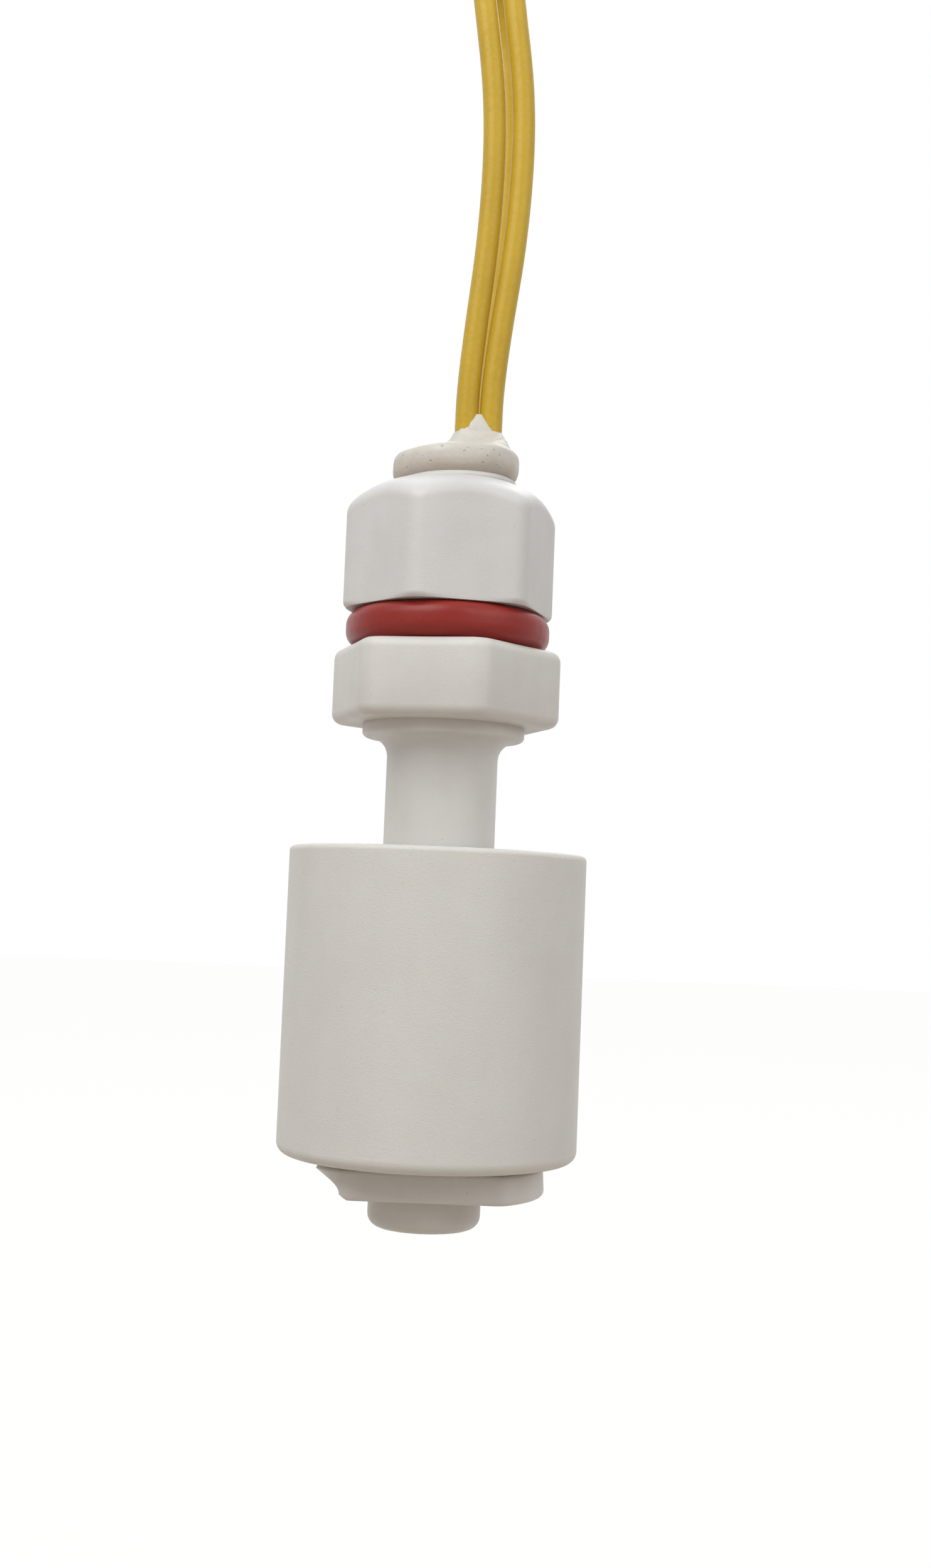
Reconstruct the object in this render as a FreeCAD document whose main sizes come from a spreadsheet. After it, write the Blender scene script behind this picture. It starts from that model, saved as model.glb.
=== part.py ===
"""Float level switch: a reed switch in a stem, worked by a ring magnet in a sliding float.

The origin is on the stem's axis, on top of the gasket, where the tank's wall seats. +Z points up,
out of the tank, along the leads. Lengths are in millimetres.
"""
import FreeCAD, Part
import math
import os

import Sketcher
from FreeCAD import Placement, Rotation, Vector

# Driving sizes: alias, value, what it is.
SIZES = [
    # threaded shank and its bore
    ("thread_dia", 10.0, "outside diameter of the M10 thread"),
    ("thread_length", 13.0, "thread above the gasket's top"),
    ("thread_edge", 0.35, "chamfer round the shank's end"),
    ("valley_gap", 0.15, "open thread valley's start above the nut"),
    ("valley_width", 0.9, "width of the open thread valley"),
    ("valley_depth", 0.55, "depth of the open thread valley"),
    ("bore_clear", 0.115, "blind bore's wall to the leads inside the stem"),
    ("bore_floor", 6.0, "solid end of the stem below the bore"),
    ("mouth_flare", 1.1, "flare of the bore's mouth, radial"),
    ("mouth_depth", 3.4, "depth of the bore's flared mouth"),
    # gasket
    ("gasket_thick", 2.9, "gasket's thickness"),
    ("gasket_dia", 15.8, "gasket's outside diameter"),
    ("gasket_round", 1.2, "round of the gasket's rims"),
    ("gasket_clear", 0.1, "gasket to shank, radial"),
    # hexagonal flange, collar and stem
    ("flange_flats", 16.0, "flange across flats"),
    ("flange_thick", 5.9, "flange's thickness"),
    ("flange_turn", -11.6, "angle of one flange corner"),
    ("flange_corner", 1.0, "round of the flange's six corners"),
    ("flange_rim", 0.45, "round of the flange's rims"),
    ("collar_dia", 12.8, "collar under the flange"),
    ("collar_thick", 1.2, "collar's thickness"),
    ("collar_round", 0.4, "round of the collar's lower rim"),
    ("root_round", 1.5, "fillet between collar and stem"),
    ("stem_dia", 8.75, "stem's diameter"),
    ("stem_length", 37.9, "stem below the collar"),
    ("stem_round", 1.0, "round of the stem's end"),
    # nut
    ("nut_flats", 15.0, "nut across flats"),
    ("nut_height", 10.1, "nut's height"),
    ("nut_turn", 12.0, "angle of one nut corner"),
    ("nut_corner", 1.2, "round of the nut's six corners"),
    ("nut_crown", 2.3, "height of the nut's domed crown"),
    ("nut_top_rise", 0.3, "rise of the top towards the thread"),
    ("nut_edge", 0.3, "chamfer under the nut"),
    ("nut_clear", 0.05, "nut to shank, radial"),
    # clip that keeps the float on
    ("clip_dia", 18.4, "clip's outside diameter"),
    ("clip_flats", 14.0, "clip across its two flats"),
    ("clip_thick", 2.2, "clip's thickness"),
    ("clip_mouth", 8.0, "mouth's width at the rim"),
    ("clip_throat", 6.2, "narrowest width of the mouth"),
    ("clip_lip", 0.5, "straight part of the mouth beyond the groove"),
    ("clip_edge", 0.3, "chamfer of the clip's lower edges"),
    ("clip_height", 2.8, "clip's underside above the stem's end"),
    ("groove_depth", 0.8, "groove for the clip"),
    ("clip_clear", 0.05, "clip to groove, each way"),
    # float
    ("float_dia", 23.3, "float's diameter"),
    ("float_height", 24.1, "float's height"),
    ("float_wall", 1.2, "wall of the float's shell"),
    ("float_floor", 1.4, "floor of the float's shell"),
    ("float_low_round", 0.9, "round of the float's lower rim"),
    ("float_high_round", 0.4, "round of the float's upper rim"),
    ("float_clear", 0.35, "float to stem, radial"),
    ("cap_thick", 1.4, "cap's thickness"),
    ("cap_tube_wall", 1.0, "wall of the cap's guide tube"),
    ("cap_shoulder", 0.9, "shoulder on the tube, over the magnet"),
    ("cap_seat", 0.8, "depth of the tube's end in the floor"),
    ("cap_clear", 0.05, "cap to shell, radial"),
    ("rib_thick", 1.0, "thickness of a locating rib"),
    ("rib_count", 6, "locating ribs round the magnet"),
    ("pad_height", 0.8, "ring pad that the magnet sits on"),
    ("pad_inset", 0.6, "ring pad inside the magnet's edges"),
    ("magnet_dia", 18.0, "magnet's outside diameter"),
    ("magnet_height", 5.0, "magnet's height"),
    ("magnet_edge", 0.3, "chamfer of the magnet's rims"),
    ("magnet_clear", 0.08, "running clearance round the magnet"),
    # reed switch
    ("glass_dia", 2.3, "reed switch's glass"),
    ("glass_length", 14.0, "length of the glass"),
    ("glass_wall", 0.3, "wall of the glass"),
    ("glass_seal", 1.8, "glass sealed round each lead"),
    ("glass_end_round", 0.7, "round of the glass's ends"),
    ("reed_dia", 0.6, "round part of a reed"),
    ("reed_lead", 4.4, "reed's lead outside the glass"),
    ("blade_wide", 1.3, "flattened blade's width"),
    ("blade_thick", 0.22, "flattened blade's thickness"),
    ("blade_lap", 1.6, "overlap of the two blades"),
    ("blade_gap", 0.08, "open gap between the blades"),
    ("blade_root", 0.8, "round part of a reed inside the glass"),
    ("reed_offset", 1.3, "reed switch beside the stem's axis"),
    ("reed_floor", 7.4, "glass above the bore's floor"),
    ("lead_straight", 1.5, "lower lead straight below the glass"),
    ("lead_bend", 1.8, "height of the lower lead's bend"),
    ("lead_floor", 0.6, "lower lead above the bore's floor"),
    # leads
    ("wire_dia", 1.85, "lead over its insulation"),
    ("wire_pitch", 2.35, "between the two leads' centres"),
    ("core_dia", 0.8, "stranded core"),
    ("core_bare", 4.5, "stripped length at a soldered joint"),
    ("joint_dia", 1.7, "soldered joint"),
    ("joint_length", 2.4, "length of a soldered joint"),
    ("sleeve_wall", 0.18, "wall of an insulating sleeve"),
    ("joint_film", 0.06, "solder film between lead and core"),
    ("strip_gap", 0.2, "insulation above the reed's lead"),
    ("inner_pitch", 2.4, "between the two leads' centres inside the stem"),
    ("lean_start", 2.5, "leads lean over from here below the shank's end"),
    ("exit_rise", 0.9, "leads upright from here above the shank"),
    # sealing compound
    ("plug_depth", 10.0, "compound down the bore"),
    ("mound_dia", 9.5, "foot of the compound on the shank"),
    ("mound_height", 0.9, "height of the mound's shoulder"),
    ("neck_wide", 4.7, "neck round the leads, along X"),
    ("neck_deep", 2.5, "neck round the leads, along Y"),
    ("neck_height", 2.0, "neck's top above the shank"),
    ("neck_shift", 1.8, "leads' centre beside the axis"),
    # put-away coil of each lead
    ("coil_mid_dia", 20.0, "coil across the middle of its turns"),
    ("coil_dia", 4.6, "section of a coil's bundle"),
    ("coil_x", -0.3, "coils' centre along X"),
    ("coil_y", 15.6, "front coil's centre along Y"),
    ("coil_z", -32.4, "coils' centre along Z"),
    ("coil_apart", 4.7, "between the two coils' centres"),
    ("route_unit_length", 1.0, "length of one unit in the leads' routes"),
    ("coil_lay", 1.26, "last turn outside the coil's middle"),
    ("end_start", 4.2, "tinned end starts beside the coil's centre"),
    ("end_length", 6.5, "tinned end's length"),
    ("tie_wide", 3.0, "tie's width"),
    ("tie_thick", 0.5, "tie's thickness"),
    ("tie_clear", 0.25, "tie to coils"),
    ("tie_turn", 32.0, "tie's angle from the coils' top"),
]

# Routes of the two leads outside, from the compound's neck to where they reach their coils, in route units.
WIRE_LEFT_ROUTE = [
    (0.625, 0.0, 15.0), (0.625, 0.0, 18.0), (1.08, 0.0, 22.6), (1.97, 0.0, 30.4), (2.33, 0.0, 37.4),
    (2.12, 0.0, 43.3), (1.38, 0.0, 49.6), (0.10, 0.2, 58.4), (-0.15, 6.6, 65.0), (0.35, 15.4, 65.4),
    (1.50, 21.9, 59.2), (2.29, 22.1, 50.4), (2.27, 22.0, 43.4), (1.79, 22.0, 36.2), (0.94, 22.0, 29.0),
    (0.44, 21.9, 22.2), (0.16, 21.6, 15.2), (0.00, 20.9, 7.8), (-0.15, 19.9, 0.4), (-0.60, 18.8, -7.0),
    (-2.20, 17.6, -14.0), (-5.30, 16.4, -20.4), (-8.40, 15.6, -25.6), (-9.90, 15.4, -30.0),
]
WIRE_RIGHT_ROUTE = [
    (2.975, 0.0, 15.0), (2.975, 0.0, 17.9), (3.44, 0.0, 22.7), (4.33, 0.0, 30.3), (4.68, 0.0, 37.6),
    (4.46, 0.0, 43.5), (3.70, 0.0, 49.8), (2.45, 0.2, 58.6), (2.30, 6.8, 65.3), (2.95, 15.7, 65.5),
    (4.20, 22.0, 59.2), (5.00, 22.2, 50.6), (4.99, 22.1, 43.6), (4.51, 22.1, 36.3), (3.66, 22.1, 29.1),
    (3.16, 22.1, 22.3), (2.88, 22.0, 15.3), (2.66, 22.0, 7.9), (2.50, 21.6, 0.2), (1.90, 21.4, -7.2),
    (0.10, 21.2, -14.4), (-3.60, 21.0, -20.4), (-7.60, 20.7, -24.8), (-9.80, 20.4, -29.4),
]

# A hexagon's corner reach over half its flats.
ROOT_4_3 = 2 / math.sqrt(3)
# Share of the shorter run that a tube's arc takes up at each end.
ARC_SHARE = 0.45

doc = FreeCAD.newDocument("float_level_switch")
sheet = doc.addObject("Spreadsheet::Sheet", "sizes")


class Dim:
    """A length or angle: its present value, and the expression on the sheet that drives it."""

    def __init__(self, value, text):
        self.value = value
        self.text = text

    def _join(self, other, sign, value, swap=False):
        other_text = other.text if isinstance(other, Dim) else repr(other)
        first, second = (other_text, self.text) if swap else (self.text, other_text)
        return Dim(value, "(%s %s %s)" % (first, sign, second))

    def __add__(self, other):
        return self._join(other, "+", self.value + number(other))

    def __radd__(self, other):
        return self._join(other, "+", number(other) + self.value, swap=True)

    def __sub__(self, other):
        return self._join(other, "-", self.value - number(other))

    def __rsub__(self, other):
        return self._join(other, "-", number(other) - self.value, swap=True)

    def __mul__(self, other):
        return self._join(other, "*", self.value * number(other))

    def __rmul__(self, other):
        return self._join(other, "*", number(other) * self.value, swap=True)

    def __truediv__(self, other):
        return self._join(other, "/", self.value / number(other))

    def __neg__(self):
        return Dim(-self.value, "(0 - %s)" % self.text)


def number(value):
    """The plain number in a Dim or a number."""
    return value.value if isinstance(value, Dim) else float(value)


def fill_sheet():
    """Write every driving size into its own cell, as text, with its alias."""
    for row, (alias, value, meaning) in enumerate(SIZES, start=1):
        sheet.set("A%d" % row, meaning)
        sheet.set("B%d" % row, str(value))
        sheet.setAlias("B%d" % row, alias)
    doc.recompute()


def size(alias):
    """The driving size of this alias."""
    return Dim(float(sheet.get(alias)), "sizes." + alias)


def bind(item, path, value):
    """Drive a property of an object with a Dim."""
    item.setExpression(path, value.text)


# ---------------------------------------------------------------- sketches and bodies


def new_body(label):
    """A PartDesign body with this label."""
    body = doc.addObject("PartDesign::Body", label)
    body.Label = label
    return body


def new_sketch(body, name, plane, lift=None):
    """A sketch on one of the body's own origin planes, lifted along the plane's normal."""
    sketch = body.newObject("Sketcher::SketchObject", name)
    support = next(item for item in body.Origin.OriginFeatures if item.Role == plane)
    sketch.AttachmentSupport = [(support, "")]
    sketch.MapMode = "FlatFace"
    if lift is not None:
        bind(sketch, ".AttachmentOffset.Base.z", lift)
    return sketch


def constrain(sketch, value, kind, *picks):
    """Add a dimension to a sketch and drive it with a Dim."""
    name = "size_%d" % sketch.ConstraintCount
    index = sketch.addConstraint(Sketcher.Constraint(kind, *picks, number(value)))
    sketch.renameConstraint(index, name)
    bind(sketch, "Constraints." + name, value)


def place_point(sketch, geometry, end, across, up):
    """Fix a point of a sketch by its two coordinates. A plain 0 puts it on the axis."""
    if isinstance(across, Dim):
        constrain(sketch, across, "DistanceX", -1, 1, geometry, end)
    else:
        sketch.addConstraint(Sketcher.Constraint("PointOnObject", geometry, end, -2))
    if isinstance(up, Dim):
        constrain(sketch, up, "DistanceY", -1, 1, geometry, end)
    else:
        sketch.addConstraint(Sketcher.Constraint("PointOnObject", geometry, end, -1))


def draw_outline(sketch, corners):
    """Draw a closed outline of straight sides through its corners.

    A corner is (across, up) or (across, up, radius), and a radius rounds it with a tangent arc.
    """
    count = len(corners)
    spots = [Vector(number(corner[0]), number(corner[1]), 0) for corner in corners]
    trims = []
    for i, corner in enumerate(corners):
        before = (spots[i - 1] - spots[i]).normalize()
        after = (spots[(i + 1) % count] - spots[i]).normalize()
        trim = 0.0
        if len(corner) == 3:
            trim = number(corner[2]) / math.tan(before.getAngle(after) / 2)
        trims.append((before, after, trim))
    sides = []
    for i in range(count):
        j = (i + 1) % count
        start = spots[i] + trims[i][1] * trims[i][2]
        end = spots[j] + trims[j][0] * trims[j][2]
        sides.append(sketch.addGeometry(Part.LineSegment(start, end), False))
    for i, corner in enumerate(corners):
        inward, outward = sides[i - 1], sides[i]
        if len(corner) == 2:
            sketch.addConstraint(Sketcher.Constraint("Coincident", inward, 2, outward, 1))
            place_point(sketch, outward, 1, corner[0], corner[1])
        else:
            round_corner(sketch, spots[i], trims[i], corner, inward, outward)


def round_corner(sketch, spot, trim, corner, inward, outward):
    """Add the tangent arc of one rounded corner of an outline."""
    before, after, back = trim
    radius = number(corner[2])
    first = spot + before * back
    last = spot + after * back
    bisector = (before + after).normalize()
    centre = spot + bisector * math.hypot(back, radius)
    turns_left = before.cross(after).z < 0
    start, end = (first, last) if turns_left else (last, first)
    circle = Part.Circle(centre, Vector(0, 0, 1), radius)
    arc = Part.ArcOfCircle(circle, circle.parameter(start), circle.parameter(end))
    index = sketch.addGeometry(arc, False)
    point = sketch.addGeometry(Part.Point(spot), True)
    place_point(sketch, point, 1, corner[0], corner[1])
    sketch.addConstraint(Sketcher.Constraint("PointOnObject", point, 1, inward))
    sketch.addConstraint(Sketcher.Constraint("PointOnObject", point, 1, outward))
    arc_first, arc_last = (1, 2) if turns_left else (2, 1)
    sketch.addConstraint(Sketcher.Constraint("Tangent", inward, 2, index, arc_first))
    sketch.addConstraint(Sketcher.Constraint("Tangent", index, arc_last, outward, 1))
    constrain(sketch, corner[2], "Radius", index)


def draw_circle(sketch, across, up, radius):
    """Draw a circle."""
    centre = Vector(number(across), number(up), 0)
    index = sketch.addGeometry(Part.Circle(centre, Vector(0, 0, 1), number(radius)), False)
    place_point(sketch, index, 3, across, up)
    constrain(sketch, radius, "Radius", index)


def revolve(body, name, corners, cut=False):
    """Turn an outline of (radius, height) corners round the Z axis, to add or to cut."""
    sketch = new_sketch(body, name + "_outline", "XZ_Plane")
    draw_outline(sketch, corners)
    kind = "PartDesign::Groove" if cut else "PartDesign::Revolution"
    feature = body.newObject(kind, name)
    feature.Profile = (sketch, [""])
    feature.ReferenceAxis = (sketch, ["V_Axis"])
    feature.Angle = 360
    return feature


def extrude(body, name, sketch, length, cut=False):
    """Pad a sketch along its normal, or cut it away against its normal."""
    feature = body.newObject("PartDesign::Pocket" if cut else "PartDesign::Pad", name)
    feature.Profile = (sketch, [""])
    bind(feature, "Length", length)
    return feature


def edges_where(feature, test):
    """Names of a feature's edges that pass a test."""
    doc.recompute()
    names = []
    for index, edge in enumerate(feature.Shape.Edges, start=1):
        if test(edge):
            names.append("Edge%d" % index)
    if not names:
        raise RuntimeError("no edge found on " + feature.Name)
    return names


def dress(body, name, base, kind, edges, value):
    """Fillet or chamfer some edges of a feature."""
    feature = body.newObject("PartDesign::" + kind, name)
    feature.Base = (base, edges)
    bind(feature, "Radius" if kind == "Fillet" else "Size", value)
    return feature


def is_level(edge, height, beyond):
    """Whether all of an edge lies at one height, further from the axis than this."""
    box = edge.BoundBox
    at_height = abs(box.ZMin - height) < 1e-4 and abs(box.ZMax - height) < 1e-4
    return at_height and min(radius_of(point) for point in edge.discretize(7)) > beyond


def radius_of(point):
    """A point's distance from the Z axis."""
    return math.hypot(point.x, point.y)


def polar(reach, angle):
    """The two coordinates of a point at this distance and angle from the origin."""
    bearing = math.radians(angle.value)
    across = Dim(reach.value * math.cos(bearing), "(%s * cos(%s * 1deg))" % (reach.text, angle.text))
    up = Dim(reach.value * math.sin(bearing), "(%s * sin(%s * 1deg))" % (reach.text, angle.text))
    return across, up


def hexagon_corners(flats, turn, corner_round):
    """The six rounded corners of a hexagon across flats, one of them at the angle turn."""
    reach = flats / 2 * ROOT_4_3
    return [polar(reach, turn + 60 * k) + (corner_round,) for k in range(6)]


def rectangle_corners(left, low, right, high):
    """The four corners of a rectangle."""
    return [(left, low), (right, low), (right, high), (left, high)]


def cord_tube(points, diameter):
    """A tube along straight runs joined by tangent arcs, and the radii of its arcs."""
    spots = [Vector(*point) for point in points]
    edges = []
    radii = []
    start = spots[0]
    for before, spot, after in zip(spots, spots[1:], spots[2:]):
        back, ahead = before - spot, after - spot
        turn = math.pi - back.getAngle(ahead)
        trim = ARC_SHARE * min(back.Length, ahead.Length)
        radii.append(trim / math.tan(turn / 2))
        first = spot + back.normalize() * trim
        last = spot + ahead.normalize() * trim
        lean = (back + ahead).normalize()
        sagitta = radii[-1] / math.cos(turn / 2) - radii[-1]
        edges.append(Part.LineSegment(start, first).toShape())
        edges.append(Part.Arc(first, spot + lean * sagitta, last).toShape())
        start = last
    edges.append(Part.LineSegment(start, spots[-1]).toShape())
    path = Part.Wire(edges)
    heading = (spots[1] - spots[0]).normalize()
    ring = Part.Wire(Part.Circle(spots[0], heading, diameter / 2).toShape())
    tube = path.makePipeShell([ring], True, True)
    section = math.pi * diameter ** 2 / 4
    if abs(tube.Volume / (section * path.Length) - 1) > 0.01:
        raise RuntimeError("a tube's volume does not match its length")
    return tube, path.Length, radii


def new_tube(label, points, diameter):
    """A Part::Feature that holds a tube along these points."""
    shape, length, radii = cord_tube(points, number(diameter))
    item = doc.addObject("Part::Feature", label)
    item.Label = label
    item.Shape = shape
    print("%s: %.1f mm long, arcs %s mm" % (label, length, ", ".join("%.1f" % r for r in radii)))
    return item


def new_cylinder(name, diameter, height, base=None, rotation=None):
    """A Part::Cylinder, standing on its base point."""
    item = doc.addObject("Part::Cylinder", name)
    bind(item, "Radius", diameter / 2)
    bind(item, "Height", height)
    if rotation is not None:
        item.Placement = Placement(Vector(), rotation)
    if base is not None:
        put_at(item, base)
    return item


def new_box(name, sizes, base):
    """A Part::Box with its low corner at the base point."""
    item = doc.addObject("Part::Box", name)
    for side, value in zip(("Length", "Width", "Height"), sizes):
        bind(item, side, value)
    put_at(item, base)
    return item


def put_at(item, base):
    """Drive an object's place. A plain 0 leaves that coordinate at zero."""
    for axis, value in zip("xyz", base):
        if isinstance(value, Dim):
            bind(item, ".Placement.Base." + axis, value)


def fuse(label, *pieces):
    """One solid from several that meet."""
    item = doc.addObject("Part::MultiFuse", label)
    item.Label = label
    item.Shapes = list(pieces)
    item.Refine = True
    return item


def cut(label, base, *tools):
    """A solid less others."""
    tool = tools[0] if len(tools) == 1 else fuse(label + "_tools", *tools)
    item = doc.addObject("Part::Cut", label)
    item.Label = label
    item.Base = base
    item.Tool = tool
    return item


fill_sheet()

# ---------------------------------------------------------------- levels and radii shared by pieces

thread_r = size("thread_dia") / 2
stem_r = size("stem_dia") / 2
thread_top = size("thread_length")
flange_top = -size("gasket_thick")
flange_low = flange_top - size("flange_thick")
collar_low = flange_low - size("collar_thick")
stem_low = collar_low - size("stem_length")
bore_low = stem_low + size("bore_floor")
mouth_low = thread_top - size("mouth_depth")
clip_low = stem_low + size("clip_height")
clip_top = clip_low + size("clip_thick")
groove_r = stem_r - size("groove_depth")

float_low = clip_top
float_top = float_low + size("float_height")
float_r = size("float_dia") / 2
float_bore_r = stem_r + size("float_clear")
float_inner_r = float_r - size("float_wall")
floor_top = float_low + size("float_floor")
pad_top = floor_top + size("pad_height")
tube_r = float_bore_r + size("cap_tube_wall")
tube_seat_r = tube_r + size("cap_clear")
tube_seat_low = floor_top - size("cap_seat")
magnet_low = pad_top + size("magnet_clear")
magnet_top = magnet_low + size("magnet_height")
magnet_r = size("magnet_dia") / 2
shoulder_r = tube_r + size("cap_shoulder")
shoulder_low = magnet_top + size("magnet_clear")
cap_low = float_top - size("cap_thick")
cap_rim_r = float_r - size("float_wall") / 2

glass_low = bore_low + size("reed_floor")
glass_top = glass_low + size("glass_length")
reed_x = -size("reed_offset")
reed_r = size("reed_dia") / 2
core_beside = (size("reed_dia") + size("core_dia")) / 2 + size("joint_film")
left_inner_x = reed_x + core_beside
right_inner_x = left_inner_x + size("inner_pitch")
lower_lead_x = right_inner_x - core_beside
bore_r = right_inner_x + size("wire_dia") / 2 + size("bore_clear")
mouth_r = bore_r + size("mouth_flare")
upper_lead_top = glass_top + size("reed_lead")
upper_strip = upper_lead_top + size("strip_gap")
lower_lead_low = bore_low + size("lead_floor")
lower_strip = lower_lead_low + size("core_bare")

left_exit_x = size("neck_shift") - size("wire_pitch") / 2
right_exit_x = left_exit_x + size("wire_pitch")
neck_top = thread_top + size("neck_height")


# ---------------------------------------------------------------- the moulded stem and what seats on it


def make_stem_body():
    """Stem, collar, hexagonal flange and threaded shank: one moulding with a blind bore."""
    body = new_body("stem_body")
    edge = size("thread_edge")
    revolve(body, "turned_form", [
        (0, stem_low),
        (stem_r, stem_low, size("stem_round")),
        (stem_r, collar_low, size("root_round")),
        (size("collar_dia") / 2, collar_low, size("collar_round")),
        (size("collar_dia") / 2, flange_top),
        (thread_r, flange_top),
        (thread_r, thread_top - edge),
        (thread_r - edge, thread_top),
        (0, thread_top),
    ])
    hexagon = new_sketch(body, "flange_outline", "XY_Plane", lift=flange_low)
    draw_outline(hexagon, hexagon_corners(size("flange_flats"), size("flange_turn"), size("flange_corner")))
    flange = extrude(body, "flange", hexagon, size("flange_thick"))
    rims = edges_where(flange, lambda edge: is_rim(edge, flange_low) or is_rim(edge, flange_top))
    dress(body, "flange_rims", flange, "Fillet", rims, size("flange_rim"))
    revolve(body, "bore", [
        (0, bore_low),
        (bore_r, bore_low),
        (bore_r, mouth_low),
        (mouth_r, thread_top),
        (mouth_r, thread_top + 1),
        (0, thread_top + 1),
    ], cut=True)
    revolve(body, "clip_groove", rectangle_corners(
        groove_r, clip_low - size("clip_clear"), stem_r + 1, clip_top + size("clip_clear")), cut=True)
    valley_low = size("nut_height") + size("valley_gap")
    valley_high = valley_low + size("valley_width")
    revolve(body, "thread_valley", [
        (thread_r - size("valley_depth"), (valley_low + valley_high) / 2),
        (thread_r, valley_low),
        (thread_r + 1, valley_low),
        (thread_r + 1, valley_high),
        (thread_r, valley_high),
    ], cut=True)
    return body


def is_rim(edge, height):
    """Whether an edge is on the flange's outline at this height."""
    return is_level(edge, height.value, size("collar_dia").value / 2 + 0.1)


def make_gasket():
    """Flat silicone ring between the flange and the tank's wall."""
    body = new_body("gasket")
    inner_r = thread_r + size("gasket_clear")
    outer_r = size("gasket_dia") / 2
    rim = size("gasket_round")
    revolve(body, "ring", [
        (inner_r, flange_top),
        (outer_r, flange_top, rim),
        (outer_r, Dim(0.0, "0"), rim),
        (inner_r, 0),
    ])
    return body


def make_hex_nut():
    """Tall clamping nut with a domed crown."""
    body = new_body("hex_nut")
    bore = thread_r + size("nut_clear")
    half_flats = size("nut_flats") / 2
    reach = half_flats * ROOT_4_3
    turned = revolve(body, "domed_blank", [
        (bore, 0),
        (reach - size("nut_edge"), 0),
        (reach, size("nut_edge")),
        (reach, size("nut_height") - size("nut_top_rise"), size("nut_crown")),
        (bore, size("nut_height")),
    ])
    outline = new_sketch(body, "hexagon", "XY_Plane")
    draw_outline(outline, hexagon_corners(size("nut_flats"), size("nut_turn"), size("nut_corner")))
    draw_circle(outline, 0, 0, reach * 1.3)
    doc.recompute()
    blank_volume = turned.Shape.Volume
    flats = extrude(body, "flats", outline, size("nut_height") + 1, cut=True)
    flats.Reversed = True
    doc.recompute()
    if flats.Shape.Volume > 0.98 * blank_volume:
        raise RuntimeError("the nut's flats were not cut")
    return body


def make_retaining_clip():
    """Plastic C-clip with two flats and an open mouth, snapped into the stem's groove."""
    body = new_body("retaining_clip")
    rim_r = size("clip_dia") / 2
    grip_r = groove_r + size("clip_clear")
    ring = new_sketch(body, "ring_outline", "XY_Plane", lift=clip_low)
    draw_circle(ring, 0, 0, rim_r)
    draw_circle(ring, 0, 0, grip_r)
    plate = extrude(body, "ring", ring, size("clip_thick"))
    half = size("clip_flats") / 2
    sides = new_sketch(body, "flats_outline", "XY_Plane", lift=clip_low)
    draw_outline(sides, rectangle_corners(-rim_r, half, rim_r, rim_r + 1))
    draw_outline(sides, rectangle_corners(-rim_r, -rim_r - 1, rim_r, -half))
    flats = extrude(body, "flats", sides, size("clip_thick"), cut=True)
    flats.Reversed = True
    throat = size("clip_throat") / 2
    mouth = size("clip_mouth") / 2
    gap = new_sketch(body, "mouth_outline", "XY_Plane", lift=clip_low)
    draw_outline(gap, [
        (-grip_r / 2, -throat),
        (-grip_r / 2, throat),
        (-grip_r - size("clip_lip"), throat),
        (-rim_r, mouth),
        (-rim_r - 1, mouth),
        (-rim_r - 1, -mouth),
        (-rim_r, -mouth),
        (-grip_r - size("clip_lip"), -throat),
    ])
    opening = extrude(body, "mouth", gap, size("clip_thick"), cut=True)
    opening.Reversed = True
    doc.recompute()
    if not opening.Shape.Volume < flats.Shape.Volume < plate.Shape.Volume:
        raise RuntimeError("the clip's mouth or flats were not cut")
    rims = edges_where(opening, lambda edge: is_level(edge, clip_low.value, (stem_r + size("clip_lip")).value))
    dress(body, "lower_rims", opening, "Chamfer", rims, size("clip_edge"))
    return body


# ---------------------------------------------------------------- the float


def make_float_shell():
    """Outer wall and floor of the float, with a ring pad and ribs that locate the magnet."""
    body = new_body("float_shell")
    pad_in = tube_seat_r + size("pad_inset")
    pad_out = magnet_r - size("pad_inset")
    revolve(body, "cup", [
        (float_bore_r, float_low),
        (float_r, float_low, size("float_low_round")),
        (float_r, float_top, size("float_high_round")),
        (cap_rim_r, float_top),
        (cap_rim_r, cap_low),
        (float_inner_r, cap_low),
        (float_inner_r, floor_top),
        (pad_out, floor_top),
        (pad_out, pad_top),
        (pad_in, pad_top),
        (pad_in, floor_top),
        (tube_seat_r, floor_top),
        (tube_seat_r, tube_seat_low),
        (float_bore_r, tube_seat_low),
    ])
    half = size("rib_thick") / 2
    outline = new_sketch(body, "rib_outline", "XY_Plane", lift=floor_top - size("float_floor") / 2)
    rib_in = magnet_r + size("magnet_clear")
    rib_out = float_r - size("float_wall") / 2
    draw_outline(outline, rectangle_corners(rib_in, -half, rib_out, half))
    height = magnet_top - size("magnet_height") / 2 - floor_top + size("float_floor") / 2
    rib = extrude(body, "rib", outline, height)
    ribs = body.newObject("PartDesign::PolarPattern", "ribs")
    ribs.Originals = [rib]
    ribs.Axis = (outline, ["N_Axis"])
    ribs.Angle = 360
    bind(ribs, "Occurrences", size("rib_count"))
    body.Tip = ribs
    return body


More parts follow.
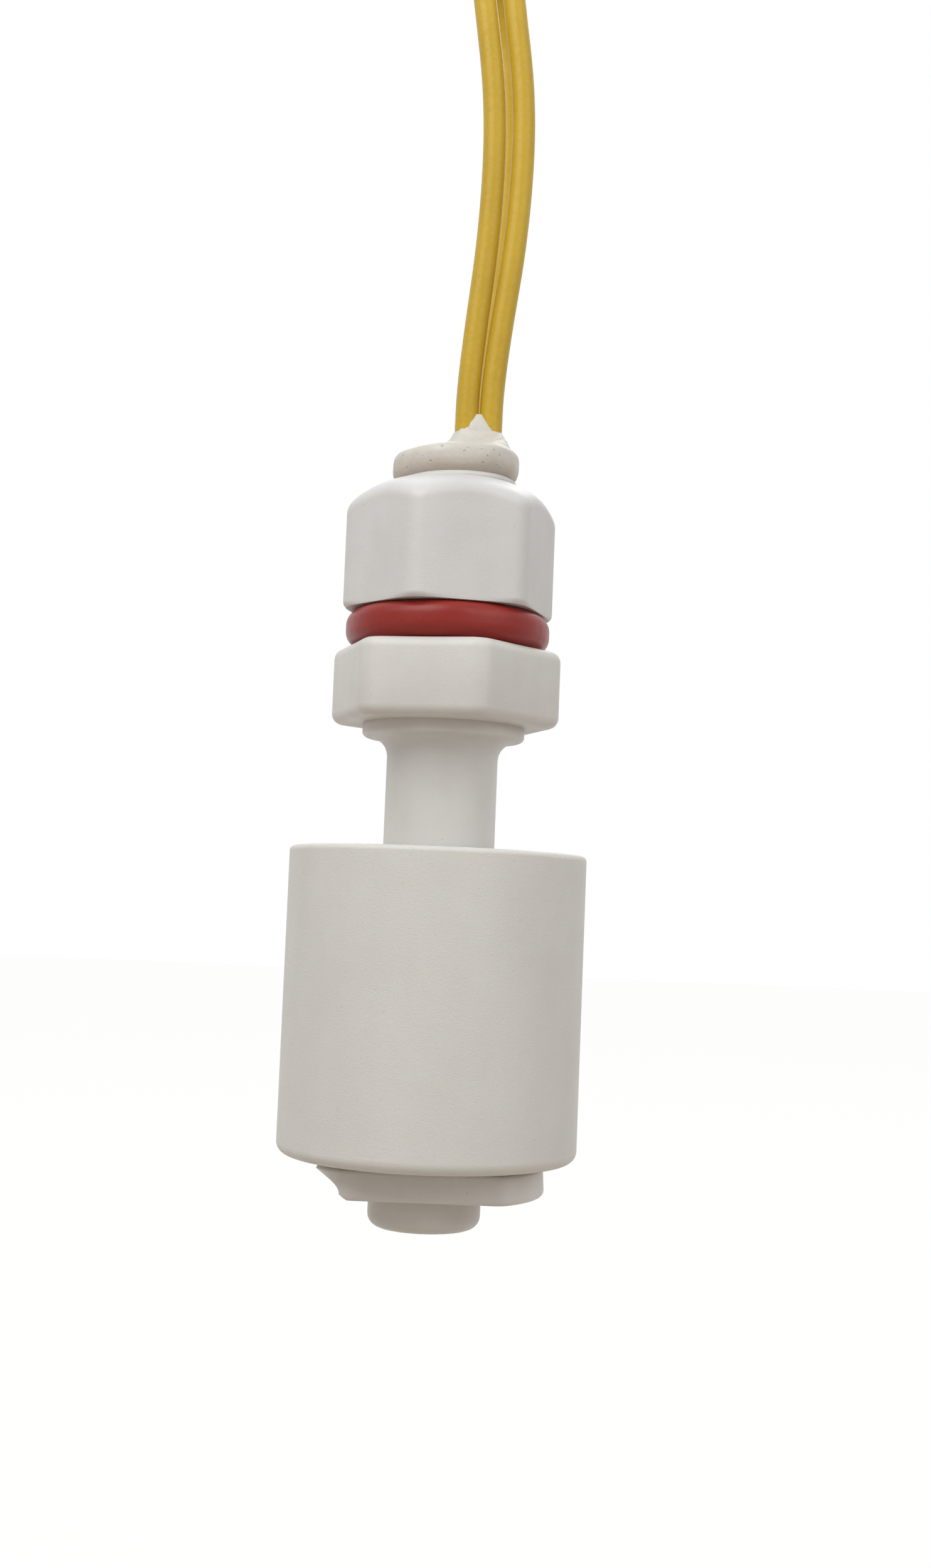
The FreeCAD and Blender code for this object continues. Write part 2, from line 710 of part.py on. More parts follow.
def make_float_cap():
    """Cap of the float, moulded with the guide tube that slides on the stem and traps the magnet."""
    body = new_body("float_cap")
    rim_r = cap_rim_r - size("cap_clear")
    step = size("cap_shoulder")
    revolve(body, "cap_and_tube", [
        (float_bore_r, tube_seat_low + size("cap_clear")),
        (tube_r, tube_seat_low + size("cap_clear")),
        (tube_r, shoulder_low),
        (shoulder_r, shoulder_low),
        (shoulder_r, shoulder_low + step),
        (tube_r, shoulder_low + step * 3),
        (tube_r, cap_low),
        (rim_r, cap_low),
        (rim_r, float_top),
        (float_bore_r, float_top),
    ])
    return body


def make_ring_magnet():
    """Ferrite ring that closes the reed switch as the float rises."""
    body = new_body("ring_magnet")
    inner_r = tube_r + size("magnet_clear")
    edge = size("magnet_edge")
    revolve(body, "ring", [
        (inner_r, magnet_low),
        (magnet_r - edge, magnet_low),
        (magnet_r, magnet_low + edge),
        (magnet_r, magnet_top - edge),
        (magnet_r - edge, magnet_top),
        (inner_r, magnet_top),
    ])
    return body


# ---------------------------------------------------------------- the reed switch and its joints


def make_reed_glass():
    """Glass capsule, sealed round each reed's lead."""
    body = new_body("reed_glass")
    glass_r = size("glass_dia") / 2
    inner_r = glass_r - size("glass_wall")
    seal = size("glass_seal")
    length = size("glass_length")
    revolve(body, "capsule", [
        (reed_r, 0),
        (glass_r, Dim(0.0, "0"), size("glass_end_round")),
        (glass_r, length, size("glass_end_round")),
        (reed_r, length),
        (reed_r, length - seal),
        (inner_r, length - seal),
        (inner_r, seal),
        (reed_r, seal),
    ])
    put_at(body, (reed_x, 0, glass_low))
    return body


def make_blade(name, low, high, side):
    """The flattened part of a reed, between two heights, on one side of the contact gap."""
    thick = size("blade_thick")
    near = size("blade_gap") / 2
    start = near if side > 0 else -near - thick
    half = size("blade_wide") / 2
    return new_box(name, (size("blade_wide"), thick, high - low), (reed_x - half, start, low))


def make_reed_blades():
    """The two springy reeds, whose flat blades overlap across the contact gap."""
    seal = size("glass_seal")
    middle = (glass_low + glass_top) / 2
    half_lap = size("blade_lap") / 2
    root = size("blade_root")
    upper_rod = new_cylinder("upper_rod", size("reed_dia"), upper_lead_top - (glass_top - seal - root),
                             (reed_x, 0, glass_top - seal - root))
    upper_flat = make_blade("upper_flat", middle - half_lap, glass_top - seal - root / 2, 1)
    fuse("reed_blade_upper", upper_rod, upper_flat)
    lower_flat = make_blade("lower_flat", glass_low + seal + root / 2, middle + half_lap, -1)
    bend_top = glass_low - size("lead_straight")
    lower_rod = new_tube("lower_rod", [
        (reed_x.value, 0, (glass_low + seal + root).value),
        (reed_x.value, 0, bend_top.value),
        (lower_lead_x.value, 0, (bend_top - size("lead_bend")).value),
        (lower_lead_x.value, 0, lower_lead_low.value),
    ], size("reed_dia"))
    fuse("reed_blade_lower", lower_rod, lower_flat)


def make_inner_wire(label, inner_x, exit_x, strip):
    """A lead inside the stem: insulated up to the compound's neck, and stripped at its lower end."""
    run = new_tube(label + "_run", [
        (inner_x.value, 0, strip.value),
        (inner_x.value, 0, (thread_top - size("lean_start")).value),
        (exit_x.value, 0, (thread_top + size("exit_rise")).value),
        (exit_x.value, 0, neck_top.value),
    ], size("wire_dia"))
    core = new_cylinder(label + "_core", size("core_dia"), size("core_bare"),
                        (inner_x, 0, strip - size("core_bare")))
    return fuse(label, run, core)


def make_joint(name, low, lead_x, rods):
    """Solder round a reed's lead and a stripped core, in an insulating sleeve."""
    middle_x = lead_x + (size("core_dia") - size("reed_dia")) / 4 + core_beside / 2
    solder_low = low + size("joint_film") * 2
    blob = new_cylinder(name + "_blob", size("joint_dia"), size("joint_length"), (middle_x, 0, solder_low))
    cut("solder_joint_" + name, blob, *rods)
    tube_bore = new_cylinder(name + "_sleeve_bore", size("joint_dia") + size("joint_film"),
                             size("joint_length"), (middle_x, 0, solder_low))
    outer = size("joint_dia") + size("joint_film") + size("sleeve_wall") * 2
    tube_wall = new_cylinder(name + "_sleeve_wall", outer, size("joint_length"), (middle_x, 0, solder_low))
    cut("joint_sleeve_" + name, tube_wall, tube_bore)


def make_sealing_compound(wires):
    """Compound poured down the bore and drawn up round the two leads."""
    body = new_body("compound_form")
    foot_r = size("mound_dia") / 2
    shoulder = thread_top + size("mound_height")
    revolve(body, "plug_and_foot", [
        (0, thread_top - size("plug_depth")),
        (bore_r, thread_top - size("plug_depth")),
        (bore_r, mouth_low),
        (mouth_r, thread_top),
        (foot_r, thread_top),
        (foot_r, shoulder),
        (0, shoulder),
    ])
    foot = new_sketch(body, "mound_foot", "XY_Plane", lift=shoulder)
    near_round = foot_r * 0.98
    draw_outline(foot, [corner + (near_round,) for corner in
                        rectangle_corners(-foot_r, -foot_r, foot_r, foot_r)])
    neck = new_sketch(body, "mound_neck", "XY_Plane", lift=neck_top)
    half_wide = size("neck_wide") / 2
    half_deep = size("neck_deep") / 2
    shift = size("neck_shift")
    draw_outline(neck, [corner + (half_deep * 0.96,) for corner in
                        rectangle_corners(shift - half_wide, -half_deep, shift + half_wide, half_deep)])
    mound = body.newObject("PartDesign::AdditiveLoft", "mound")
    mound.Profile = (foot, [""])
    mound.Sections = [(neck, [""])]
    return cut("sealing_compound", body, *wires)


# ---------------------------------------------------------------- the leads outside


def make_lead(side, route, coil_y):
    """One lead: its free run, its put-away coil and its tinned end."""
    start = (left_exit_x if side == "left" else right_exit_x, 0.0, neck_top)
    unit = size("route_unit_length").value
    points = [tuple(number(value) for value in start)]
    points += [tuple(value * unit for value in point) for point in route[1:]]
    new_tube("wire_" + side, points, size("wire_dia"))
    coil = doc.addObject("Part::Torus", "wire_" + side + "_coil")
    bind(coil, "Radius1", size("coil_mid_dia") / 2)
    bind(coil, "Radius2", size("coil_dia") / 2)
    coil.Placement = Placement(Vector(), Rotation(Vector(1, 0, 0), 90))
    put_at(coil, (size("coil_x"), coil_y, size("coil_z")))
    last_turn_z = size("coil_z") - size("coil_mid_dia") / 2 - size("coil_lay")
    new_cylinder("wire_" + side + "_end", size("core_dia"), size("end_length"),
                 (size("coil_x") + size("end_start"), coil_y, last_turn_z),
                 Rotation(Vector(0, 1, 0), 90))


def make_coil_tie():
    """Band that holds the two coils together."""
    clear = size("tie_clear")
    thick = size("tie_thick")
    wide = size("tie_wide")
    deep = size("coil_dia") + size("coil_apart") + clear * 2
    tall = size("coil_dia") + clear * 2
    mid = size("coil_mid_dia") / 2
    outer = new_box("tie_outer", (wide, deep + thick * 2, tall + thick * 2),
                    (-wide / 2, -deep / 2 - thick, mid - tall / 2 - thick))
    inner = new_box("tie_inner", (wide * 2, deep, tall), (-wide, -deep / 2, mid - tall / 2))
    tie = cut("coil_tie", outer, inner)
    tie.Placement = Placement(Vector(), Rotation(Vector(0, 1, 0), size("tie_turn").value))
    put_at(tie, (size("coil_x"), size("coil_y") + size("coil_apart") / 2, size("coil_z")))


# ---------------------------------------------------------------- build, check and write

NODES = [
    "stem_body", "gasket", "hex_nut", "retaining_clip",
    "float_shell", "float_cap", "ring_magnet",
    "reed_glass", "reed_blade_upper", "reed_blade_lower",
    "solder_joint_upper", "solder_joint_lower", "joint_sleeve_upper", "joint_sleeve_lower",
    "wire_left_inner", "wire_right_inner", "sealing_compound",
    "wire_left", "wire_left_coil", "wire_left_end",
    "wire_right", "wire_right_coil", "wire_right_end", "coil_tie",
]


def build():
    """Make every sub-part in the document."""
    make_stem_body()
    make_gasket()
    make_hex_nut()
    make_retaining_clip()
    make_float_shell()
    make_float_cap()
    make_ring_magnet()
    make_reed_glass()
    make_reed_blades()
    left = make_inner_wire("wire_left_inner", left_inner_x, left_exit_x, upper_strip)
    right = make_inner_wire("wire_right_inner", right_inner_x, right_exit_x, lower_strip)
    doc.recompute()
    upper = doc.getObject("reed_blade_upper")
    lower = doc.getObject("reed_blade_lower")
    make_joint("upper", upper_strip - size("core_bare"), reed_x, (upper, left))
    make_joint("lower", lower_lead_low, lower_lead_x, (lower, right))
    make_sealing_compound((left, right))
    make_lead("left", WIRE_LEFT_ROUTE, size("coil_y"))
    make_lead("right", WIRE_RIGHT_ROUTE, size("coil_y") + size("coil_apart"))
    make_coil_tie()
    doc.recompute()


def check():
    """Stop if any object failed, or if a sub-part is not one valid solid."""
    for item in doc.Objects:
        if "Invalid" in item.State or "Error" in item.State:
            raise RuntimeError("%s failed: %s" % (item.Name, item.State))
    for node in NODES:
        shape = doc.getObject(node).Shape
        if shape.isNull() or not shape.isValid() or len(shape.Solids) != 1:
            raise RuntimeError("%s is not one valid solid" % node)


def write():
    """Write each sub-part to its own STEP file."""
    os.makedirs("parts", exist_ok=True)
    for node in NODES:
        doc.getObject(node).Shape.exportStep("parts/%s.step" % node)


build()
check()
write()
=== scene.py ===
"""Looks of a vertical float level switch with a clamping nut, a gasket and two yellow leads."""
import logging
import math
from dataclasses import asdict, dataclass
from enum import Enum
from typing import Any, Callable, Sequence

import bmesh
import bpy
from mathutils import Matrix, Vector, noise

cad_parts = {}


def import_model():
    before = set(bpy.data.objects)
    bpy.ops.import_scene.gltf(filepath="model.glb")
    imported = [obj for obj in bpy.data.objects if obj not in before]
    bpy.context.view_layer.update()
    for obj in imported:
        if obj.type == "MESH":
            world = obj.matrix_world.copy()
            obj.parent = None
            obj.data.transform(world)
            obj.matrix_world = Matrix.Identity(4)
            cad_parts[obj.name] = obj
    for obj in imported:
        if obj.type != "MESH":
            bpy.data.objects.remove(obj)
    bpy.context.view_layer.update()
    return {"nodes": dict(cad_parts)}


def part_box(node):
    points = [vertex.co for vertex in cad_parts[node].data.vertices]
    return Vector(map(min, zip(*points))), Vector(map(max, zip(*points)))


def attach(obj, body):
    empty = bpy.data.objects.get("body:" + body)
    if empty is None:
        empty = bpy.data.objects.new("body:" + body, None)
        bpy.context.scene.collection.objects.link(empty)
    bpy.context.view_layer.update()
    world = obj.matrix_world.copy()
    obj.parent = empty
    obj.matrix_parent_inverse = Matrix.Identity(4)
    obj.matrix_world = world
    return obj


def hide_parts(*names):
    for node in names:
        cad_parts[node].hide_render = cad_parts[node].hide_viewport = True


LOG = logging.getLogger("float_level_switch")
MM = 0.001
AROUND = 288
WELD = 2e-7
STRAND_POINTS = 36

Place = tuple[float, float, float]
Colour = tuple[float, float, float]
Ring = list[Place]


# ------------------------------------------------------------------ node trees


def _operator(operation: str) -> Callable[["Value", "Value | float"], "Value"]:
    """An operator between values, which adds the Math node of this operation."""
    return lambda value, other: value.math(operation, other)


class Value:
    """A node's output that takes part in arithmetic; each operator adds its Math node."""

    def __init__(self, graph: "Graph", socket: bpy.types.NodeSocket) -> None:
        """Keeps the socket and the graph that it belongs to."""
        self.graph = graph
        self.socket = socket

    def math(self, operation: str, *others: "Value | float", clamp: bool = False) -> "Value":
        """Adds a Math node with this value first.

        Args:
            operation: the Math node's operation.
            others: its further inputs, values or numbers.
            clamp: whether the result is kept between 0 and 1.

        Returns:
            The node's result.
        """
        inputs = dict(enumerate((self, *others)))
        return self.graph.node("ShaderNodeMath", inputs, operation=operation, use_clamp=clamp)

    __add__ = _operator("ADD")
    __sub__ = _operator("SUBTRACT")
    __mul__ = _operator("MULTIPLY")
    __truediv__ = _operator("DIVIDE")

    def __rsub__(self, other: float) -> "Value":
        """A number less this value."""
        return self * -1.0 + other

    def above(self, start: float, gain: float) -> "Value":
        """How far this value is past a start, times a gain, kept between 0 and 1."""
        return (self - start).math("MULTIPLY", gain, clamp=True)

    def kept(self) -> "Value":
        """This value, kept between 0 and 1."""
        return self.math("MULTIPLY", 1.0, clamp=True)

    def other(self, name: str) -> "Value":
        """Another output of the same node, by name."""
        return Value(self.graph, self.socket.node.outputs[name])


class Graph:
    """The nodes of one tree, added by kind."""

    def __init__(self, tree: bpy.types.NodeTree) -> None:
        """Keeps the tree that the nodes go in."""
        self.tree = tree

    def node(
        self, kind: str, inputs: dict[int | str, Any] | None = None, output: int | str = 0, **settings: Any
    ) -> Value:
        """Adds a node, its settings first and then its inputs.

        Args:
            kind: the node's type, as Blender names it.
            inputs: values, numbers or vectors by the socket's name or place.
            output: the output that is wanted.
            settings: the node's properties.

        Returns:
            That output.
        """
        made = self.tree.nodes.new(kind)
        for name, value in settings.items():
            setattr(made, name, value)
        for name, value in (inputs or {}).items():
            if isinstance(value, Value):
                self.tree.links.new(value.socket, made.inputs[name])
            else:
                made.inputs[name].default_value = value
        return Value(self, made.outputs[output] if len(made.outputs) else made.inputs[0])

    def joined(self, *parts: Value | float) -> Value:
        """A vector from its parts."""
        return self.node("ShaderNodeCombineXYZ", dict(enumerate(parts)))

    def split(self, vector: Value, part: str = "X") -> Value:
        """A part of a vector."""
        return self.node("ShaderNodeSeparateXYZ", {0: vector}, part)

    def stretched(self, vector: Value, scale: Place) -> Value:
        """Coordinates stretched along the axes."""
        return self.node("ShaderNodeMapping", {"Vector": vector, "Scale": scale})

    def noise(self, vector: Value, scale: float, detail: float, roughness: float) -> Value:
        """A noise texture's level.

        Args:
            vector: the coordinates it reads.
            scale: cells a metre.
            detail: octaves.
            roughness: how strong the finer octaves are.

        Returns:
            The level, about 0.5 in the middle.
        """
        inputs = {"Vector": vector, "Scale": scale, "Detail": detail, "Roughness": roughness}
        return self.node("ShaderNodeTexNoise", inputs, "Fac")

    def blend(self, factor: Value | float, first: Value | Colour, second: Value | Colour) -> Value:
        """A colour between two.

        Args:
            factor: 0 for the first and 1 for the second.
            first: a colour.
            second: a colour.

        Returns:
            The mixed colour.
        """
        inputs = {0: factor, 6: _full(first), 7: _full(second)}
        return self.node("ShaderNodeMix", inputs, 2, data_type="RGBA")


def cleared(owner: bpy.types.Material | bpy.types.World) -> Graph:
    """The graph of a material or world, with no nodes in it yet."""
    owner.use_nodes = True
    owner.node_tree.nodes.clear()
    return Graph(owner.node_tree)


def _full(colour: Value | Colour) -> Value | tuple[float, ...]:
    """A colour with its alpha, or a value as it is."""
    return colour if isinstance(colour, Value) else (*colour, 1.0)


# ------------------------------------------------------------------ finishes


@dataclass(frozen=True)
class Finish:
    """A finish: its name, its slot in the record, which is not used here, and a colour that a subclass
    dresses.
    """

    name: str
    slot: str
    tone: Colour

    def material(self) -> bpy.types.Material:
        """The finish's material, made once."""
        found = bpy.data.materials.get(self.name)
        if found:
            return found
        made = bpy.data.materials.new(self.name)
        made.diffuse_color = (*self.tone, 1.0)
        graph = cleared(made)
        place = graph.node("ShaderNodeTexCoord", {}, "Object")
        shader = graph.node("ShaderNodeBsdfPrincipled", self.sockets(graph, place))
        graph.node("ShaderNodeOutputMaterial", {"Surface": shader})
        return made

    def sockets(self, graph: Graph, place: Value) -> dict[str, Any]:
        """The shader's inputs, given by each kind of finish."""
        raise NotImplementedError


def bump(graph: Graph, height: Value, distance: float, **under: Value) -> Value:
    """A normal from a height.

    Args:
        graph: the tree.
        height: the level that stands up.
        distance: how far a level of 1 stands up, in metres.
        under: the Normal that it lies on, if there is one.

    Returns:
        The normal.
    """
    inputs = {"Height": height, "Distance": distance, "Strength": 1.0, **under}
    return graph.node("ShaderNodeBump", inputs)


def under_skin(weight: float, radius: Colour, scale: float) -> dict[str, Any]:
    """The shader's inputs for light that passes under the skin."""
    return {"Subsurface Weight": weight, "Subsurface Radius": radius, "Subsurface Scale": scale}


@dataclass(frozen=True)
class Moulded(Finish):
    """Satin moulded plastic: cloudy colour, flow marks, a few specks and a fine skin."""

    cloud: Colour
    gloss: float = 0.42
    skin: float = 0.00002
    ripple: float = 0.00008
    specks: float = 0.3
    glow: float = 0.15

    def sockets(self, graph: Graph, place: Value) -> dict[str, Any]:
        """Clouded base colour, varied gloss, and a skin of grain over soft sink marks."""
        clouds = graph.noise(place, 170.0, 3.0, 0.55)
        flow = graph.noise(graph.stretched(place, (1.0, 1.0, 0.22)), 420.0, 2.0, 0.5)
        amount = (clouds * 0.65 + flow * 0.35).above(0.32, 2.4)
        base = graph.blend(amount, self.tone, self.cloud)
        dots = graph.noise(place, 2300.0, 1.0, 0.4).above(0.755, 12.0) * self.specks
        dark = tuple(level * 0.45 for level in self.tone)
        grain = graph.noise(place, 9000.0, 2.0, 0.6)
        relief = bump(graph, graph.noise(place, 260.0, 1.0, 0.5), self.ripple)
        return {
            "Base Color": graph.blend(dots, base, dark),
            "Roughness": flow * 0.16 + (self.gloss - 0.08),
            **under_skin(self.glow, (1.0, 0.62, 0.38), 0.0012),
            "Specular IOR Level": 0.42,
            "Normal": bump(graph, grain, self.skin, Normal=relief),
        }


@dataclass(frozen=True)
class Silicone(Finish):
    """Pressed silicone: deep colour, dusty patches, soft shine."""

    dust: Colour

    def sockets(self, graph: Graph, place: Value) -> dict[str, Any]:
        """Dusty base colour with a soft, slightly lumpy shine."""
        patches = graph.noise(place, 380.0, 4.0, 0.6)
        dust = patches.above(0.5, 2.2)
        fine = graph.noise(place, 5200.0, 2.0, 0.6)
        lumps = graph.noise(place, 700.0, 2.0, 0.5) * 0.8 + fine * 0.2
        return {
            "Base Color": graph.blend(dust * 0.35, self.tone, self.dust),
            "Roughness": patches * 0.2 + 0.24,
            "Specular IOR Level": 0.28,
            "Normal": bump(graph, lumps, 0.00006),
        }


@dataclass(frozen=True)
class Insulation(Finish):
    """Extruded lead insulation: satin, a little uneven, faintly translucent."""

    deep: Colour

    def sockets(self, graph: Graph, place: Value) -> dict[str, Any]:
        """Uneven base colour, drawn marks and a satin shine."""
        uneven = graph.noise(place, 130.0, 3.0, 0.55)
        fine = graph.noise(place, 2600.0, 3.0, 0.6)
        amount = (uneven * 0.7 + fine * 0.3).above(0.36, 2.6)
        return {
            "Base Color": graph.blend(amount, self.tone, self.deep),
            "Roughness": fine * 0.2 + 0.27,
            **under_skin(0.12, (1.0, 0.55, 0.12), 0.0006),
            "Specular IOR Level": 0.3,
            "Normal": bump(graph, fine * 0.4 + uneven * 0.6, 0.00005),
        }


@dataclass(frozen=True)
class Compound(Finish):
    """Cured sealing compound: warm, drawn and pitted, with painted shade where it meets the thread and
    darker pits.
    """

    shade: Colour
    # Colour of the painted shade at the compound's foot, also mixed into its pits.
    stain: Colour

    def sockets(self, graph: Graph, place: Value) -> dict[str, Any]:
        """Warm mottling, small darker pits, painted shade at the foot and a dull shine."""
        clouds = graph.noise(place, 420.0, 4.0, 0.6)
        pits = graph.node(
            "ShaderNodeTexVoronoi", {"Vector": place, "Scale": 1500.0}, "Distance", feature="F1"
        )
        pit = (0.18 - pits).math("MULTIPLY", 8.0, clamp=True)
        amount = clouds.above(0.34, 2.2)
        base = graph.blend(amount, self.tone, self.shade)
        height = clouds * 0.8 - pit * 0.35
        # Painted shade: darker and browner towards the foot, where the thread valley lies in shadow.
        foot = ((clouds * 0.0010 + 0.0116) - graph.split(place, "Z")).math("MULTIPLY", 900.0, clamp=True)
        base = graph.blend(foot * 0.6, base, self.stain)
        return {
            # The pits take a little of the same darker colour.
            "Base Color": graph.blend(pit * 0.12, base, self.stain),
            "Roughness": clouds * 0.3 + 0.3,
            **under_skin(0.15, (1.0, 0.7, 0.45), 0.001),
            "Normal": bump(graph, height, 0.00018),
        }


@dataclass(frozen=True)
class Metal(Finish):
    """Drawn or solidified metal."""

    tarnish: Colour
    gloss: float = 0.3
    stretch: Place = (1.0, 1.0, 0.1)
    lumps: float = 0.00001

    def sockets(self, graph: Graph, place: Value) -> dict[str, Any]:
        """Metal with drawn marks and patches of tarnish."""
        drawn = graph.noise(graph.stretched(place, self.stretch), 6000.0, 2.0, 0.5)
        patches = graph.noise(place, 900.0, 3.0, 0.6)
        amount = patches.above(0.45, 3.0) * 0.6
        return {
            "Base Color": graph.blend(amount, self.tone, self.tarnish),
            "Metallic": 1.0,
            "Roughness": drawn * 0.2 + patches * 0.15 + (self.gloss - 0.12),
            "Normal": bump(graph, drawn, self.lumps),
        }


@dataclass(frozen=True)
class Ferrite(Finish):
    """Pressed and fired ferrite: dark, matte and grainy."""

    def sockets(self, graph: Graph, place: Value) -> dict[str, Any]:
        """Dark grain with paler crystals and a rough skin."""
        grain = graph.noise(place, 5200.0, 3.0, 0.65)
        crystals = grain.above(0.6, 5.0)
        pale = tuple(level * 2.4 for level in self.tone)
        return {
            "Base Color": graph.blend(crystals, self.tone, pale),
            "Roughness": grain * 0.3 + 0.42,
            "Normal": bump(graph, grain, 0.00003),
        }


@dataclass(frozen=True)
class Glass(Finish):
    """Clear drawn glass."""

    def sockets(self, graph: Graph, place: Value) -> dict[str, Any]:
        """Clear glass, slightly uneven where it was sealed."""
        uneven = graph.noise(place, 500.0, 2.0, 0.5)
        return {
            "Base Color": (*self.tone, 1.0),
            "Roughness": uneven * 0.05,
            "IOR": 1.5,
            "Transmission Weight": 1.0,
            "Normal": bump(graph, uneven, 0.00002),
        }


class Surfaces(Enum):
    """Every finish on the switch."""

    STEM = Moulded("stem plastic", "white_plastic", (0.675, 0.666, 0.640), (0.61, 0.595, 0.56))
    FLANGE = Moulded("nut plastic", "white_nut", (0.675, 0.675, 0.665), (0.61, 0.605, 0.595))
    FLOAT = Moulded(
        "float plastic", "float_plastic", (0.70, 0.695, 0.662), (0.665, 0.658, 0.622), 0.5, 0.00003, 0.00006
    )
    GASKET = Silicone("gasket silicone", "red_silicone", (0.265, 0.020, 0.014), (0.345, 0.060, 0.041))
    LEAD = Insulation("lead insulation", "yellow_insulation", (0.60, 0.405, 0.030), (0.48, 0.30, 0.017))
    # The compound's last colour is the painted shade at its foot, also used in its pits.
    COMPOUND = Compound(
        "sealing compound", "compound", (0.64, 0.625, 0.575), (0.56, 0.53, 0.47), (0.46, 0.37, 0.29)
    )
    REED = Metal("reed metal", "reed_metal", (0.62, 0.61, 0.58), (0.42, 0.39, 0.33))
    SOLDER = Metal(
        "solder", "solder", (0.62, 0.62, 0.63), (0.40, 0.39, 0.37), 0.36, (1.0, 1.0, 1.0), 0.00006
    )
    TINNED = Metal(
        "tinned copper", "tinned_copper", (0.68, 0.67, 0.65), (0.55, 0.40, 0.28), 0.3, (0.1, 1.0, 1.0)
    )
    FERRITE = Ferrite("ferrite", "ferrite", (0.055, 0.055, 0.06))
    GLASS = Glass("reed glass", "glass", (0.80, 0.90, 0.85))
    SLEEVE = Moulded(
        "sleeve plastic", "sleeve_plastic", (0.045, 0.045, 0.045), (0.06, 0.06, 0.06), 0.3, glow=0.0
    )
    TIE = Moulded("tie plastic", "tie_plastic", (0.045, 0.045, 0.048), (0.065, 0.065, 0.07), 0.4, glow=0.0)


def paint(piece: bpy.types.Object, surface: Surfaces) -> None:
    """Gives a piece its finish, in place of any other."""
    piece.data.materials.clear()
    piece.data.materials.append(surface.value.material())


# ------------------------------------------------------------------ meshes


def turned(corners: Sequence[tuple[float, ...]], steps: int = 6) -> list[tuple[float, float]]:
    """A turned outline with its rounded corners.

    Args:
        corners: radius and height of each corner, and the round it has if it has one, in millimetres.
        steps: facets of each round.

    Returns:
        Radius and height of each point, in millimetres.
    """
    outline: list[tuple[float, float]] = []
    for place, corner in enumerate(corners):
        here = Vector(corner[:2])
        if len(corner) < 3 or not 0 < place < len(corners) - 1:
            outline.append(tuple(here))
            continue
        before = (Vector(corners[place - 1][:2]) - here).normalized()
        after = (Vector(corners[place + 1][:2]) - here).normalized()
        half = before.angle(after) / 2
        centre = here + (before + after).normalized() * corner[2] / math.sin(half)
        first = here + before * corner[2] / math.tan(half) - centre
        last = here + after * corner[2] / math.tan(half) - centre
        for step in range(steps + 1):
            share = step / steps
            angle = first.angle(last)
            mix = first * math.sin((1 - share) * angle) + last * math.sin(share * angle)
            outline.append(tuple(centre + mix / math.sin(angle)))
    return outline


def in_metres(places: Sequence[Place]) -> Ring:
    """Places in metres, from places in millimetres."""
    return [tuple(length * MM for length in place) for place in places]


def directions(steps: int = AROUND) -> list[tuple[float, float]]:
    """Unit steps round the axis: how far each one goes along X and along Y."""
    angles = (math.tau * step / steps for step in range(steps))
    return [(math.cos(angle), math.sin(angle)) for angle in angles]


def circle_ring(radius: float, height: float, steps: int = AROUND) -> Ring:
    """A level circle round the axis, in metres from millimetres."""
    if radius <= 0:
        return [(0.0, 0.0, height * MM)]
    return [(radius * MM * east, radius * MM * north, height * MM) for east, north in directions(steps)]


def skin(rings: Sequence[Ring], looped: bool = False, capped: bool = False) -> bpy.types.Mesh:
    """A mesh through rings of points; a ring of one point closes an end.

    Args:
        rings: the rings in order.
        looped: whether the last ring joins the first.
        capped: whether a flat face closes each end.

    Returns:
        The mesh.
    """
    points: list[Place] = []
    starts: list[int] = []
    for ring in rings:
        starts.append(len(points))
        points.extend(ring)
    faces: list[tuple[int, ...]] = []
    pairs = list(zip(range(len(rings) - 1), range(1, len(rings))))
    if looped:
        pairs.append((len(rings) - 1, 0))
    for low, high in pairs:
        count = max(len(rings[low]), len(rings[high]))
        for step in range(count):
            after = (step + 1) % count
            lower = [starts[low] + step, starts[low] + after] if len(rings[low]) > 1 else [starts[low]]
            upper = [starts[high] + after, starts[high] + step] if len(rings[high]) > 1 else [starts[high]]
            faces.append((*lower, *upper))
    if capped:
        faces += [tuple(range(len(rings[0]))), tuple(range(starts[-1], len(points)))]
    mesh = bpy.data.meshes.new("skin")
    mesh.from_pydata(points, [], faces)
    return mesh


def piece_from(name: str, *meshes: bpy.types.Mesh, sharp: float = 35.0) -> bpy.types.Object:
    """One object from meshes that share their edges: welded, facing outwards and smooth.

    Args:
        name: the piece's name.
        meshes: the meshes, which are used up.
        sharp: angle in degrees past which an edge stays sharp.

    Returns:
        The object, linked to the scene.
    """
    work = bmesh.new()
    for mesh in meshes:
        work.from_mesh(mesh)
        bpy.data.meshes.remove(mesh)
    bmesh.ops.remove_doubles(work, verts=work.verts[:], dist=WELD)
    bmesh.ops.recalc_face_normals(work, faces=work.faces[:])
    made = bpy.data.meshes.new(name)
    work.to_mesh(made)
    work.free()
    made.polygons.foreach_set("use_smooth", [True] * len(made.polygons))
    made.set_sharp_from_angle(angle=math.radians(sharp))
    return shown(name, made)


def shown(name: str, data: bpy.types.ID) -> bpy.types.Object:
    """A new object with this data, linked to the scene."""
    made = bpy.data.objects.new(name, data)
    bpy.context.scene.collection.objects.link(made)
    return made


def fit(piece: bpy.types.Object, body: str, surface: Surfaces, *nodes: str) -> None:
    """Paints a piece, puts it on its body and lets it stand for its frame nodes.

    Args:
        piece: the piece.
        body: the body that it rides on.
        surface: its finish.
        nodes: the frame nodes that it replaces.
    """
    paint(piece, surface)
    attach(piece, body)
    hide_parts(*nodes)
    LOG.info("%s is made", piece.name)


